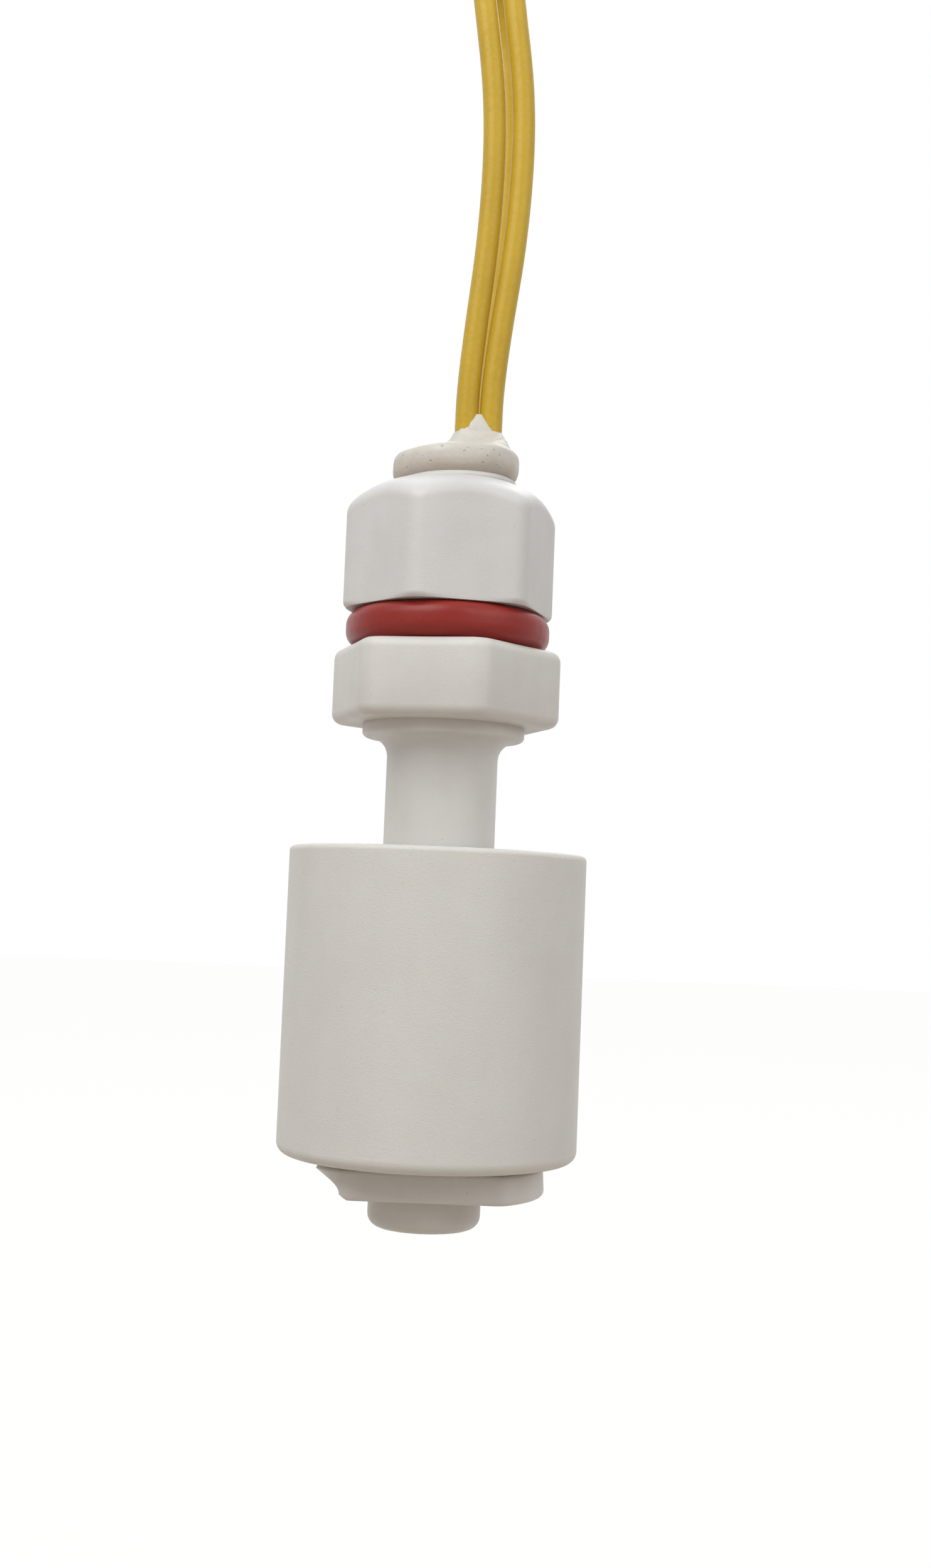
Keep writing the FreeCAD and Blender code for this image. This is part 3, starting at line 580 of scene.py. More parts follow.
def hexagon_reach(angle: float, flats: float, turn: float, corner: float) -> float:
    """How far a hexagon with rounded corners reaches at an angle.

    Args:
        angle: direction from the axis, in radians.
        flats: size across the flats.
        turn: angle of one corner, in degrees.
        corner: round of the corners.

    Returns:
        The reach, in the unit of the flats.
    """
    half = flats / 2
    sixth = math.pi / 3
    off_flat = abs((angle - math.radians(turn)) % sixth - sixth / 2)
    if math.tan(off_flat) * half <= (half - corner) * math.tan(sixth / 2):
        return half / math.cos(off_flat)
    centre = (half - corner) / math.cos(sixth / 2)
    beside = sixth / 2 - off_flat
    return centre * math.cos(beside) + math.sqrt(corner**2 - (centre * math.sin(beside)) ** 2)


def shaped_ring(height: float, reach: Callable[[float], float]) -> Ring:
    """A level ring whose radius follows the angle, in metres from millimetres."""
    radii = (reach(math.tau * step / AROUND) * MM for step in range(AROUND))
    return [
        (radius * east, radius * north, height * MM) for radius, (east, north) in zip(radii, directions())
    ]


def soft_min(first: float, second: float, width: float) -> float:
    """The lesser of two lengths, blended where they are within a width of each other."""
    share = max(width - abs(first - second), 0.0) / width
    return min(first, second) - share * share * width / 4


# ------------------------------------------------------------------ geometry node trees


class GeometryTree:
    """A Geometry Nodes tree with named inputs, run once to make a plain mesh."""

    def __init__(self, name: str, numbers: dict[str, float], counts: dict[str, int]) -> None:
        """Makes the tree's sockets.

        Args:
            name: the tree's name.
            numbers: its named lengths and ratios, with what they are here.
            counts: its named whole numbers, with what they are here.
        """
        self.tree = bpy.data.node_groups.new(name, "GeometryNodeTree")
        self.values: dict[str, float] = {**numbers, **counts}
        for key in self.values:
            kind = "NodeSocketFloat" if key in numbers else "NodeSocketInt"
            self.tree.interface.new_socket(key, in_out="INPUT", socket_type=kind)
        self.tree.interface.new_socket("Geometry", in_out="OUTPUT", socket_type="NodeSocketGeometry")
        self.graph = Graph(self.tree)
        self.inputs = self.tree.nodes.new("NodeGroupInput")

    def __getitem__(self, name: str) -> Value:
        """One of the tree's inputs, by name."""
        return Value(self.graph, self.inputs.outputs[name])

    def finish(self, geometry: Value, surface: Surfaces) -> bpy.types.Mesh:
        """Ends the tree and runs it.

        Args:
            geometry: what the tree makes.
            surface: its finish.

        Returns:
            The result as a plain mesh.
        """
        real = self.graph.node("GeometryNodeRealizeInstances", {"Geometry": geometry})
        smooth = self.graph.node("GeometryNodeSetShadeSmooth", {0: real})
        material = surface.value.material()
        dressed = self.graph.node("GeometryNodeSetMaterial", {"Geometry": smooth, "Material": material})
        self.graph.node("NodeGroupOutput", {"Geometry": dressed})
        holder = shown(self.tree.name, bpy.data.meshes.new(self.tree.name))
        modifier = holder.modifiers.new("tree", "NODES")
        modifier.node_group = self.tree
        for socket in self.tree.interface.items_tree:
            if socket.in_out == "INPUT":
                modifier[socket.identifier] = self.values[socket.name]
        graph = bpy.context.evaluated_depsgraph_get()
        mesh = bpy.data.meshes.new_from_object(holder.evaluated_get(graph))
        bpy.data.objects.remove(holder)
        return mesh


@dataclass(frozen=True)
class Thread:
    """A threaded sleeve round the axis. In millimetres."""

    radius: float
    depth: float
    low: float
    high: float
    end_drop: float
    end_length: float
    pitch: float = 1.5
    fade: float = 0.8


def thread_mesh(thread: Thread, rows: int, surface: Surfaces) -> bpy.types.Mesh:
    """A threaded sleeve, made by a tree that bends a grid round the axis.

    Args:
        thread: the thread's lengths; the tree has an input for each.
        rows: rows of the grid.
        surface: its finish.

    Returns:
        The sleeve, open at both ends.
    """
    lengths = {name.replace("_", " ").capitalize(): length * MM for name, length in asdict(thread).items()}
    tree = GeometryTree("screw thread", lengths, {"Around": AROUND, "Rows": rows})
    graph = tree.graph
    size = {"Size X": 1.0, "Size Y": 1.0, "Vertices X": tree["Around"] + 1.0, "Vertices Y": tree["Rows"]}
    grid = graph.node("GeometryNodeMeshGrid", size)
    across = graph.split(graph.node("GeometryNodeInputPosition"))
    share = across + 0.5
    height = tree["Low"] + (tree["High"] - tree["Low"]) * (across.other("Y") + 0.5)
    phase = (height / tree["Pitch"] - share).math("FRACT")
    # Flat crests and roots, with a smooth flank between them.
    valley = ((1.0 - (phase - 0.5).math("ABSOLUTE") * 2.0) * 1.45 - 0.225).kept()
    valley = valley * valley * (3.0 - valley * 2.0)
    low_fade = ((height - tree["Low"]) / tree["Fade"]).kept()
    high_fade = ((tree["High"] - height) / tree["Fade"]).kept()
    end = ((height - tree["High"] + tree["End length"]) / tree["End length"]).kept()
    radius = tree["Radius"] - tree["Depth"] * valley * low_fade * high_fade - tree["End drop"] * end
    angle = share * math.tau
    place = graph.joined(radius * angle.math("COSINE"), radius * angle.math("SINE"), height)
    bent = graph.node("GeometryNodeSetPosition", {"Geometry": grid, "Position": place})
    closed = graph.node("GeometryNodeMergeByDistance", {"Geometry": bent, "Distance": 1e-7})
    return tree.finish(closed, surface)


def strand_mesh(numbers: dict[str, float], count: int, surface: Surfaces) -> bpy.types.Mesh:
    """Bare strands twisted round a middle one, along +X from the origin.

    Args:
        numbers: Length, Lay, Strand, Turns and Spread; lengths in metres.
        count: strands round the middle one.
        surface: their finish.

    Returns:
        The strands.
    """
    tree = GeometryTree("twisted strands", numbers, {"Strands": count})
    graph = tree.graph
    tip = graph.joined(tree["Length"])
    line = graph.node("GeometryNodeCurvePrimitiveLine", {"Start": (0.0, 0.0, 0.0), "End": tip})
    line = graph.node("GeometryNodeResampleCurve", {"Curve": line, "Count": STRAND_POINTS})
    circle = graph.node("GeometryNodeMeshCircle", {"Vertices": tree["Strands"], "Radius": tree["Lay"]})
    circle = graph.node("GeometryNodeTransform", {"Geometry": circle, "Rotation": (0.0, math.pi / 2, 0.0)})
    laid = graph.node("GeometryNodeInstanceOnPoints", {"Points": circle, "Instance": line})
    laid = graph.node("GeometryNodeRealizeInstances", {"Geometry": laid})
    position = graph.node("GeometryNodeInputPosition")
    along = graph.split(position) / tree["Length"]
    flare = along * along * along * tree["Spread"] + 1.0
    scale = graph.joined(1.0, flare, flare)
    wide = graph.node("ShaderNodeVectorMath", {0: position, 1: scale}, operation="MULTIPLY")
    twist = {"Vector": wide, "Angle": along * tree["Turns"] * math.tau}
    turned_place = graph.node("ShaderNodeVectorRotate", twist, rotation_type="X_AXIS")
    twisted = graph.node("GeometryNodeSetPosition", {"Geometry": laid, "Position": turned_place})
    both = graph.node("GeometryNodeJoinGeometry", {0: twisted})
    graph.tree.links.new(line.socket, both.socket.node.inputs[0])
    profile = graph.node("GeometryNodeCurvePrimitiveCircle", {"Resolution": 10, "Radius": tree["Strand"]})
    sweep = {"Curve": both, "Profile Curve": profile, "Fill Caps": True}
    solid = graph.node("GeometryNodeCurveToMesh", sweep)
    return tree.finish(solid, surface)


# ------------------------------------------------------------------ the studio


@dataclass
class Studio:
    """Camera, soft lamps, pale floor and a plain world."""

    eye: Place = (0.00191, -0.1416, -0.0238)
    pitch: float = 4.2
    roll: float = 2.3
    lens: float = 41.3
    floor_height: float = -0.0755
    floor_half: float = 1.5
    floor_colour: Colour = (0.48, 0.41, 0.345)
    floor_white: float = 1.07
    floor_share: float = 0.9
    world_level: float = 0.49
    middle: Place = (0.0, 0.0, -0.01)

    def build(self) -> None:
        """Sets up everything that isn't the object."""
        self._camera()
        self._world()
        self._floor()
        self._lamp("key lamp", (-0.11, -0.15, 0.18), 0.18, 0.40)
        self._lamp("fill lamp", (0.22, -0.22, 0.18), 0.26, 0.34)
        self._lamp("back lamp", (0.05, 0.30, 0.36), 0.30, 0.60)

    def _camera(self) -> None:
        """The camera, level with the float and pitched up a little."""
        data = bpy.data.cameras.new("camera")
        data.sensor_fit = "VERTICAL"
        data.sensor_height = 36.0
        data.lens = self.lens
        data.clip_start = 0.005
        data.clip_end = 10.0
        camera = shown("camera", data)
        pitch, roll = math.radians(self.pitch), math.radians(self.roll)
        ahead = Vector((0.0, math.cos(pitch), math.sin(pitch)))
        upright = Vector((0.0, -math.sin(pitch), math.cos(pitch)))
        side = Vector((1.0, 0.0, 0.0))
        up = upright * math.cos(roll) - side * math.sin(roll)
        right = side * math.cos(roll) + upright * math.sin(roll)
        turn = Matrix((right, up, -ahead)).transposed().to_4x4()
        camera.matrix_world = Matrix.Translation(self.eye) @ turn
        bpy.context.scene.camera = camera
        bpy.context.scene.view_settings.view_transform = "Standard"

    @staticmethod
    def _two_shown(
        owner: bpy.types.World | bpy.types.Material, plain: Value, white: Value, share: float
    ) -> Value:
        """Mixes a plain shader with a white one that the camera, glass and metal see.

        Args:
            owner: the world or material.
            plain: the shader that lights the object.
            white: the shader that is seen behind it.
            share: share of the white one in what is seen.

        Returns:
            The output node's input.
        """
        graph = plain.graph
        path = graph.node("ShaderNodeLightPath", {}, "Is Camera Ray")
        seen = path.math("MAXIMUM", path.other("Is Glossy Ray"))
        factor = seen.math("MAXIMUM", path.other("Is Transmission Ray")) * share
        mixed = graph.node("ShaderNodeMixShader", {0: factor, 1: plain, 2: white})
        kind = "World" if isinstance(owner, bpy.types.World) else "Material"
        return graph.node(f"ShaderNodeOutput{kind}", {"Surface": mixed})

    def _world(self) -> None:
        """An even grey world that looks white behind the object."""
        world = bpy.data.worlds.new("studio world")
        bpy.context.scene.world = world
        graph = cleared(world)
        plain, white = (
            graph.node("ShaderNodeBackground", {"Color": (level, level, level, 1.0), "Strength": 1.0})
            for level in (self.world_level, 1.0)
        )
        self._two_shown(world, plain, white, 1.0)

    def _floor(self) -> None:
        """A wide pale floor under the object, which takes its shadow."""
        half = self.floor_half
        corners = [(-half, -half), (half, -half), (half, half), (-half, half)]
        mesh = bpy.data.meshes.new("floor")
        mesh.from_pydata([(x, y, self.floor_height) for x, y in corners], [], [(0, 1, 2, 3)])
        floor = shown("floor", mesh)
        material = bpy.data.materials.new("pale floor")
        graph = cleared(material)
        matte = graph.node("ShaderNodeBsdfDiffuse", {"Color": (*self.floor_colour, 1.0)})
        glow = {"Color": (1.0, 1.0, 1.0, 1.0), "Strength": self.floor_white}
        self._two_shown(material, matte, graph.node("ShaderNodeEmission", glow), self.floor_share)
        mesh.materials.append(material)

    def _lamp(self, name: str, place: Place, width: float, power: float) -> None:
        """A square soft lamp that faces the object.

        Args:
            name: its name.
            place: where it stands.
            width: its side.
            power: its watts.
        """
        data = bpy.data.lights.new(name, "AREA")
        data.shape = "SQUARE"
        data.size = width
        data.energy = power
        lamp = shown(name, data)
        lamp.location = place
        aim = Vector(self.middle) - Vector(place)
        lamp.rotation_euler = aim.to_track_quat("-Z", "Y").to_euler()


# ------------------------------------------------------------------ the leads


class Side(Enum):
    """The two leads, by where they leave the compound."""

    LEFT = "left"
    RIGHT = "right"


class Coils:
    """Where the leads' coils lie together. Lengths in millimetres."""

    coil_x = -0.3
    coil_z = -32.4
    coil_radius = 10.0


@dataclass
class Lead(Coils):
    """One lead: its free run, its put-away turns and its bare end. Lengths in millimetres."""

    side: Side
    route: Sequence[Place]
    coil_y: float
    bare: float
    start_angle: float = 166.0
    start_phase: float = 64.0
    diameter: float = 1.85
    lay_radius: float = 1.36
    last_lay: float = 1.26
    points_a_turn: int = 14
    end_angle: float = 1350.0
    end_x: float = 3.9
    run_out: float = 2.1
    strands: int = 6
    strand_lay: float = 0.265
    strand_radius: float = 0.134
    strand_turns: float = 1.6
    strand_spread: float = 0.16
    strand_inset: float = 0.9

    def build(self) -> bpy.types.Object:
        """Makes the lead as one smooth curve, from the compound to the coil's end."""
        curve = bpy.data.curves.new(f"lead_{self.side.value}", "CURVE")
        curve.dimensions = "3D"
        spline = curve.splines.new("NURBS")
        points = [*self.route, *self._turns()]
        spline.points.add(len(points) - 1)
        for point, place in zip(spline.points, in_metres(points)):
            point.co = (*place, 1.0)
        spline.order_u = 3
        spline.use_endpoint_u = True
        spline.resolution_u = 6
        curve.bevel_depth = self.diameter / 2 * MM
        curve.bevel_resolution = 7
        curve.use_fill_caps = True
        return shown(f"lead_{self.side.value}", curve)

    def _turns(self) -> list[Place]:
        """The coil's turns: each lies a diameter from the last, and the last leaves at the bottom."""
        span = self.end_angle - self.start_angle
        count = round(span / 360 * self.points_a_turn)
        inside = math.cos(math.pi / self.points_a_turn)
        turns = []
        for step in range(count + 1):
            share = step / count
            angle = math.radians(self.start_angle + span * share)
            phase = math.radians(self.start_phase + (360.0 - self.start_phase) * share)
            reach = (self.coil_radius + self.lay_radius * math.cos(phase)) / inside
            turns.append((
                self.coil_x + reach * math.cos(angle),
                self.coil_y + self.lay_radius * math.sin(phase),
                self.coil_z + reach * math.sin(angle),
            ))
        low = self.coil_z - self.coil_radius - self.last_lay
        last_x = turns[-1][0]
        turns[-1] = (last_x, self.coil_y, low)
        turns.append((last_x + self.run_out, self.coil_y, low - 0.001))
        turns.append((self.end_x, self.coil_y, low))
        return turns

    def bare_end(self) -> bpy.types.Object:
        """The tinned strands at the lead's end, from inside the insulation outwards."""
        numbers = {
            "Length": self.bare * MM, "Lay": self.strand_lay * MM, "Strand": self.strand_radius * MM,
            "Turns": self.strand_turns, "Spread": self.strand_spread,
        }
        mesh = strand_mesh(numbers, self.strands, Surfaces.TINNED)
        low = self.coil_z - self.coil_radius - self.last_lay
        mesh.transform(Matrix.Translation(Vector((self.end_x - self.strand_inset, self.coil_y, low)) * MM))
        return shown(f"strands_{self.side.value}", mesh)


@dataclass
class Leads(Coils):
    """Both leads, with the tie round their coils. Lengths in millimetres."""

    tie_width: float = 3.0
    tie_thick: float = 0.5
    tie_turn: float = 32.0
    tie_edge: float = 0.12
    land: float = 0.55
    toothed: float = 0.6
    straight_steps: int = 40
    round_steps: int = 36
    coil_y: float = 17.95
    half_deep: float = 4.56
    half_tall: float = 2.16
    tooth_deep: float = 0.06
    exit_height: float = 14.2
    length: float = 370.0

    LEFT_ROUTE = (
        (0.83, 0.0, 12.6), (0.83, 0.0, 15.2), (0.86, 0.0, 18.2), (1.20, 0.0, 22.6), (2.00, 0.0, 30.4),
        (2.27, 0.0, 37.4), (2.02, 0.0, 43.3), (1.12, 0.0, 49.6), (-0.20, 0.2, 58.4), (-0.30, 6.6, 65.0),
        (0.70, 14.8, 65.4), (2.70, 20.2, 59.2), (3.62, 20.4, 50.4), (3.60, 20.4, 43.4),
        (3.10, 20.3, 36.2), (2.28, 20.3, 29.0), (1.78, 20.2, 22.2), (1.50, 19.9, 15.2),
        (1.20, 19.4, 7.8), (0.70, 18.8, 0.4), (-0.30, 18.2, -7.0), (-2.30, 17.6, -14.0),
        (-5.20, 17.2, -20.2), (-8.90, 16.9, -25.6),
    )
    RIGHT_ROUTE = (
        (2.77, 0.0, 12.6), (2.77, 0.0, 15.2), (2.80, 0.0, 18.1), (3.22, 0.0, 22.7), (4.22, 0.0, 30.3),
        (4.60, 0.0, 37.6), (4.38, 0.0, 43.5), (3.46, 0.0, 49.8), (2.25, 0.2, 58.6), (2.20, 6.8, 65.3),
        (2.90, 16.4, 65.5), (3.50, 22.2, 59.0), (3.66, 22.4, 50.6), (3.66, 22.4, 43.6),
        (3.18, 22.4, 36.3), (2.34, 22.4, 29.1), (1.84, 22.3, 22.3), (1.60, 22.2, 15.3),
        (1.50, 22.0, 7.9), (1.30, 21.8, 0.2), (0.70, 21.7, -7.2), (-1.10, 21.6, -14.2),
        (-4.60, 21.6, -20.2), (-8.60, 21.6, -25.4),
    )

    def build(self) -> None:
        tie = self._tie()
        fit(tie, "stem", Surfaces.TIE, "coil_tie")
        left = Lead(Side.LEFT, self.LEFT_ROUTE, 15.6, 7.4)
        right = Lead(Side.RIGHT, self.RIGHT_ROUTE, 20.3, 7.2)
        for plan in (left, right):
            side = plan.side.value
            lead, end = plan.build(), plan.bare_end()
            fit(lead, "stem", Surfaces.LEAD, f"wire_{side}", f"wire_{side}_coil")
            fit(end, "stem", Surfaces.TINNED, f"wire_{side}_end")

    def _tie(self) -> bpy.types.Object:
        """A narrow toothed tie round both coils, with its head on the outside."""
        outline = self._tie_outline()
        rings = []
        count = len(outline)
        for place, (deep, tall) in enumerate(outline):
            before, after = Vector(outline[place - 1]), Vector(outline[(place + 1) % count])
            along = (after - before).normalized()
            out = Vector((-along.y, along.x))
            tooth = self.tooth_deep if place % 2 else 0.0
            ring = []
            for width, thick in self._strap_section(tooth):
                spot = Vector((deep, tall)) + out * thick
                ring.append(self._on_coils(width, spot.x, spot.y))
            rings.append(ring)
        strap = skin(rings, looped=True)
        head = self._tie_head()
        return piece_from("coil_tie_strap", strap, *head, sharp=40.0)

    def _tie_outline(self) -> list[tuple[float, float]]:
        """The strap's way round both coils: two straight sides and two rounds, clockwise."""
        flat = self.half_deep - self.half_tall
        outline = []
        for side in (1, -1):
            for step in range(self.straight_steps):
                deep = -flat + 2 * flat * step / self.straight_steps
                outline.append((side * deep, side * self.half_tall))
            for step in range(self.round_steps):
                angle = math.radians(90 - 180 * step / self.round_steps)
                outline.append((
                    side * (flat + self.half_tall * math.cos(angle)), side * self.half_tall * math.sin(angle)
                ))
        return outline

    def _strap_section(self, tooth: float) -> list[tuple[float, float]]:
        """The strap's section: across its width, and out from the coils."""
        half, thick, edge = self.tie_width / 2, self.tie_thick, self.tie_edge
        section = [
            (half - edge, 0.0), (half, edge), (half, thick - edge), (half - edge, thick),
            (half - self.land, thick), (half - self.toothed, thick - tooth),
        ]
        return [(-width, rise) for width, rise in section] + section[::-1]

    def _on_coils(self, width: float, deep: float, tall: float) -> Place:
        """A place on the strap, turned round the coils' axis to where the tie is."""
        angle = math.radians(90 - self.tie_turn)
        out, side = math.cos(angle), math.sin(angle)
        reach = self.coil_radius + tall
        return (
            (self.coil_x + reach * out + width * side) * MM,
            (self.coil_y + deep) * MM,
            (self.coil_z + reach * side - width * out) * MM,
        )

    def _tie_head(self) -> list[bpy.types.Mesh]:
        """The tie's head and its cut tail, on the strap's outer side."""
        meshes = []
        low = self.half_tall + self.tie_thick * 0.5
        # Half width, near side, far side, foot, top and edge of the head and of the tail.
        blocks = (
            (2.0, -2.0, 1.8, low, low + 2.1, 0.35),
            (1.35, 1.6, 3.0, low + 0.7, low + 1.2, 0.12),
        )
        for half, near, far, foot, top, edge in blocks:
            rings = []
            for height, inset in ((foot, edge), (foot + edge, 0.0), (top - edge, 0.0), (top, edge)):
                corners = (
                    (half - inset, near + inset), (half - inset, far - inset),
                    (-half + inset, far - inset), (-half + inset, near + inset),
                )
                rings.append([self._on_coils(width, deep, height) for width, deep in corners])
            meshes.append(skin(rings, capped=True))
        return meshes


# ------------------------------------------------------------------ stem, nut, gasket, compound


@dataclass
class Stem:
    """The moulded stem: shank with its thread, hexagonal flange, collar and tube. In millimetres."""

    thread: Thread = Thread(5.0, 0.5, -2.4, 12.0, 0.5, 1.2)
    flange_flats: float = 16.3
    flange_turn: float = -11.6
    flange_corner: float = 1.8
    flange_rim: float = 0.85
    flange_low: float = -8.95
    flange_high: float = -2.9
    collar_radius: float = 6.4
    collar_low: float = -10.0
    stem_radius: float = 4.375
    stem_low: float = -47.9
    bore_radius: float = 2.9
    bore_low: float = -41.9
    end_round: float = 1.0
    groove_low: float = -45.15
    groove_high: float = -42.85
    groove_radius: float = 3.575
    root_round: float = 1.5
    collar_round: float = 0.4
    mouth_radius: float = 4.0
    mouth_low: float = 9.6
    thread_rows: int = 140
    rim_steps: int = 5

    def build(self) -> None:
        """Makes the stem as one welded skin, from its round end up to the thread and down the bore."""
        lower = self._turned_rings([
            (0.0, self.stem_low), (self.stem_radius, self.stem_low, self.end_round),
            (self.stem_radius, self.groove_low), (self.groove_radius, self.groove_low),
            (self.groove_radius, self.groove_high), (self.stem_radius, self.groove_high),
            (self.stem_radius, self.collar_low, self.root_round),
            (self.collar_radius, self.collar_low, self.collar_round),
            (self.collar_radius, self.flange_low),
        ])
        flange = [self._flange_ring(height, inset) for height, inset in self._flange_steps()]
        foot = [circle_ring(self.thread.radius, height) for height in (self.flange_high, self.thread.low)]
        top = self.thread.radius - self.thread.end_drop
        upper = self._turned_rings([
            (top, self.thread.high), (self.mouth_radius, self.thread.high),
            (self.bore_radius, self.mouth_low), (self.bore_radius, self.bore_low), (0.0, self.bore_low),
        ])
        thread = thread_mesh(self.thread, self.thread_rows, Surfaces.STEM)
        stem = piece_from("stem", skin(lower + flange + foot), thread, skin(upper))
        fit(stem, "stem", Surfaces.STEM, "stem_body")

    def _turned_rings(self, corners: Sequence[tuple[float, ...]]) -> list[Ring]:
        """Circles through a turned outline."""
        return [circle_ring(radius, height) for radius, height in turned(corners)]

    def _flange_steps(self) -> list[tuple[float, float]]:
        """Height and inset of each ring up the flange's side, with both rims rounded."""
        rim, steps = self.flange_rim, []
        for step in range(self.rim_steps + 1):
            angle = math.pi / 2 * step / self.rim_steps
            steps.append((self.flange_low + rim * (1 - math.sin(angle)), rim * (1 - math.cos(angle))))
        lower = sorted(steps, key=lambda pair: pair[0])
        middle = self.flange_low + self.flange_high
        return lower + [(middle - height, inset) for height, inset in reversed(lower)]

    def _flange_ring(self, height: float, inset: float) -> Ring:
        """The flange's outline at a height, drawn in by an inset."""
        return shaped_ring(height, lambda angle: hexagon_reach(
            angle, self.flange_flats, self.flange_turn, self.flange_corner) - inset)


@dataclass
class ClampingNut:
    """Tall hexagonal nut with a domed crown and a shallow inner thread. In millimetres."""

    flats: float = 15.1
    turn: float = 12.0
    corner: float = 1.8
    height: float = 10.1
    bore: float = 5.05
    crown_drop: float = 2.05
    blend: float = 1.0
    thread_depth: float = 0.2
    foot_chamfer: tuple[float, float] = (0.3, 0.5)
    foot_round: float = 0.4
    foot_mouth: float = 0.35
    side_top: float = 1.6
    dome_share: float = 1.32
    dome_power: float = 1.3
    dome_steps: int = 24
    edge: float = 0.3
    wall_step: float = 0.5
    round_mouth: float = 0.8
    thread_rows: int = 100

    def build(self) -> None:
        """Makes the nut as one welded skin, outside and inside."""
        reach = self.flats / math.sqrt(3)
        outline = turned([
            (self.bore + self.foot_mouth, 0.0), (reach - self.foot_chamfer[0], 0.0, self.foot_round),
            (reach + self.blend, self.foot_chamfer[1], self.foot_round),
            (reach + self.blend, self.height - self.crown_drop * self.side_top),
        ], 14)
        for step in range(self.dome_steps + 1):
            share = self.dome_share * (1 - step / self.dome_steps)
            rise = self.height - self.crown_drop * share**self.dome_power
            outline.append((self.bore + self.edge + (reach - self.bore - self.edge) * share, rise))
        walls = [outline[0]]
        for before, after in zip(outline, outline[1:]):
            pieces = max(1, round(math.dist(before, after) / self.wall_step))
            for step in range(1, pieces + 1):
                share = step / pieces
                walls.append(tuple(a + (b - a) * share for a, b in zip(before, after)))
        rings = [self._ring(radius, height) for radius, height in walls]
        rings.append(circle_ring(self.bore, self.height - self.edge))
        thread = Thread(self.bore, self.thread_depth, self.edge, self.height - self.edge, 0.0, 1.0)
        rings.insert(0, circle_ring(self.bore, self.edge))
        sleeve = thread_mesh(thread, self.thread_rows, Surfaces.FLANGE)
        nut = piece_from("clamping_nut", skin(rings), sleeve)
        fit(nut, "nut", Surfaces.FLANGE, "hex_nut")

    def _ring(self, radius: float, height: float) -> Ring:
        """The nut's outline where the turned blank has this radius."""
        return shaped_ring(height, lambda angle: soft_min(
            radius, hexagon_reach(angle, self.flats, self.turn, self.corner), self.blend)
            if radius > self.bore + self.round_mouth else radius)


@dataclass
class Gasket:
    """Silicone ring between the flange and the tank's wall, squeezed a little. In millimetres."""

    inner: float = 5.1
    outer: float = 8.12
    low: float = -2.9
    rim: float = 1.2
    squeeze: float = 0.05

    def build(self) -> None:
        """Makes the ring, a little wider where it is squeezed most."""
        outline = turned([
            (self.inner, self.low), (self.outer, self.low, self.rim), (self.outer, 0.0, self.rim),
            (self.inner, 0.0),
        ], 10)
        rings = []
        for radius, height in outline:
            edge = max(0.0, radius - self.inner) / (self.outer - self.inner)
            rings.append(shaped_ring(height, lambda angle, r=radius, e=edge: r - self.squeeze * e * (
                1 + math.sin(3 * angle + 0.7) * math.sin(5 * angle))))
        gasket = piece_from("gasket_ring", skin(rings, looped=True))
        fit(gasket, "stem", Surfaces.GASKET, "gasket")


@dataclass
class RetainingClip:
    """Open clip in the stem's groove, with two flats and bevelled lips. In millimetres."""

    radius: float = 9.2
    flats: float = 14.0
    grip: float = 3.63
    low: float = -45.1
    high: float = -42.9
    lip_angle: float = 154.2
    grip_angle: float = 121.2
    lip_reach: float = 8.75
    bevel: float = 3.1
    flat_blend: float = 0.5
    grip_round: float = 0.12
    foot_out: float = 0.05
    foot_round: float = 0.4
    top_in: float = 0.1
    top_round: float = 0.3
    steps: int = 180

    def build(self) -> None:
        """Makes the clip, section by section from one lip round to the other."""
        sections = [self._section(2 * step / self.steps - 1) for step in range(self.steps + 1)]
        rings = [[self._middle(sections[0])], *sections, [self._middle(sections[-1])]]
        clip = piece_from("clip_ring", skin(rings), sharp=40.0)
        fit(clip, "stem", Surfaces.STEM, "retaining_clip")

    def _section(self, share: float) -> Ring:
        """A section across the clip, from one lip at -1 to the other at 1."""
        outer_angle = math.radians(self.lip_angle * share)
        inner_angle = math.radians(self.grip_angle * share)
        beside = abs(math.sin(outer_angle))
        reach = soft_min(self.radius, self.flats / 2 / max(beside, 0.01), self.flat_blend)
        inner = (self.grip * math.cos(inner_angle), self.grip * math.sin(inner_angle))
        outer = (reach * math.cos(outer_angle), reach * math.sin(outer_angle))
        length = math.dist(inner, outer)
        outline = turned([
            (length / 2, self.low), (length + self.foot_out, self.low, self.foot_round),
            (length - self.top_in, self.high, self.top_round),
            (0.0, self.high, self.grip_round), (0.0, self.low, self.grip_round), (length / 2, self.low),
        ], 5)[:-1]
        ring = []
        for along, height in outline:
            part = along / length
            east = inner[0] + (outer[0] - inner[0]) * part
            north = inner[1] + (outer[1] - inner[1]) * part
            depth = (self.high - height) / (self.high - self.low)
            bevelled = self.bevel * depth - self.lip_reach
            ring.append((max(east, bevelled), north, height))
        return in_metres(ring)

    @staticmethod
    def _middle(ring: Ring) -> Place:
        """The middle of a ring's points."""
        return tuple(sum(point[axis] for point in ring) / len(ring) for axis in range(3))


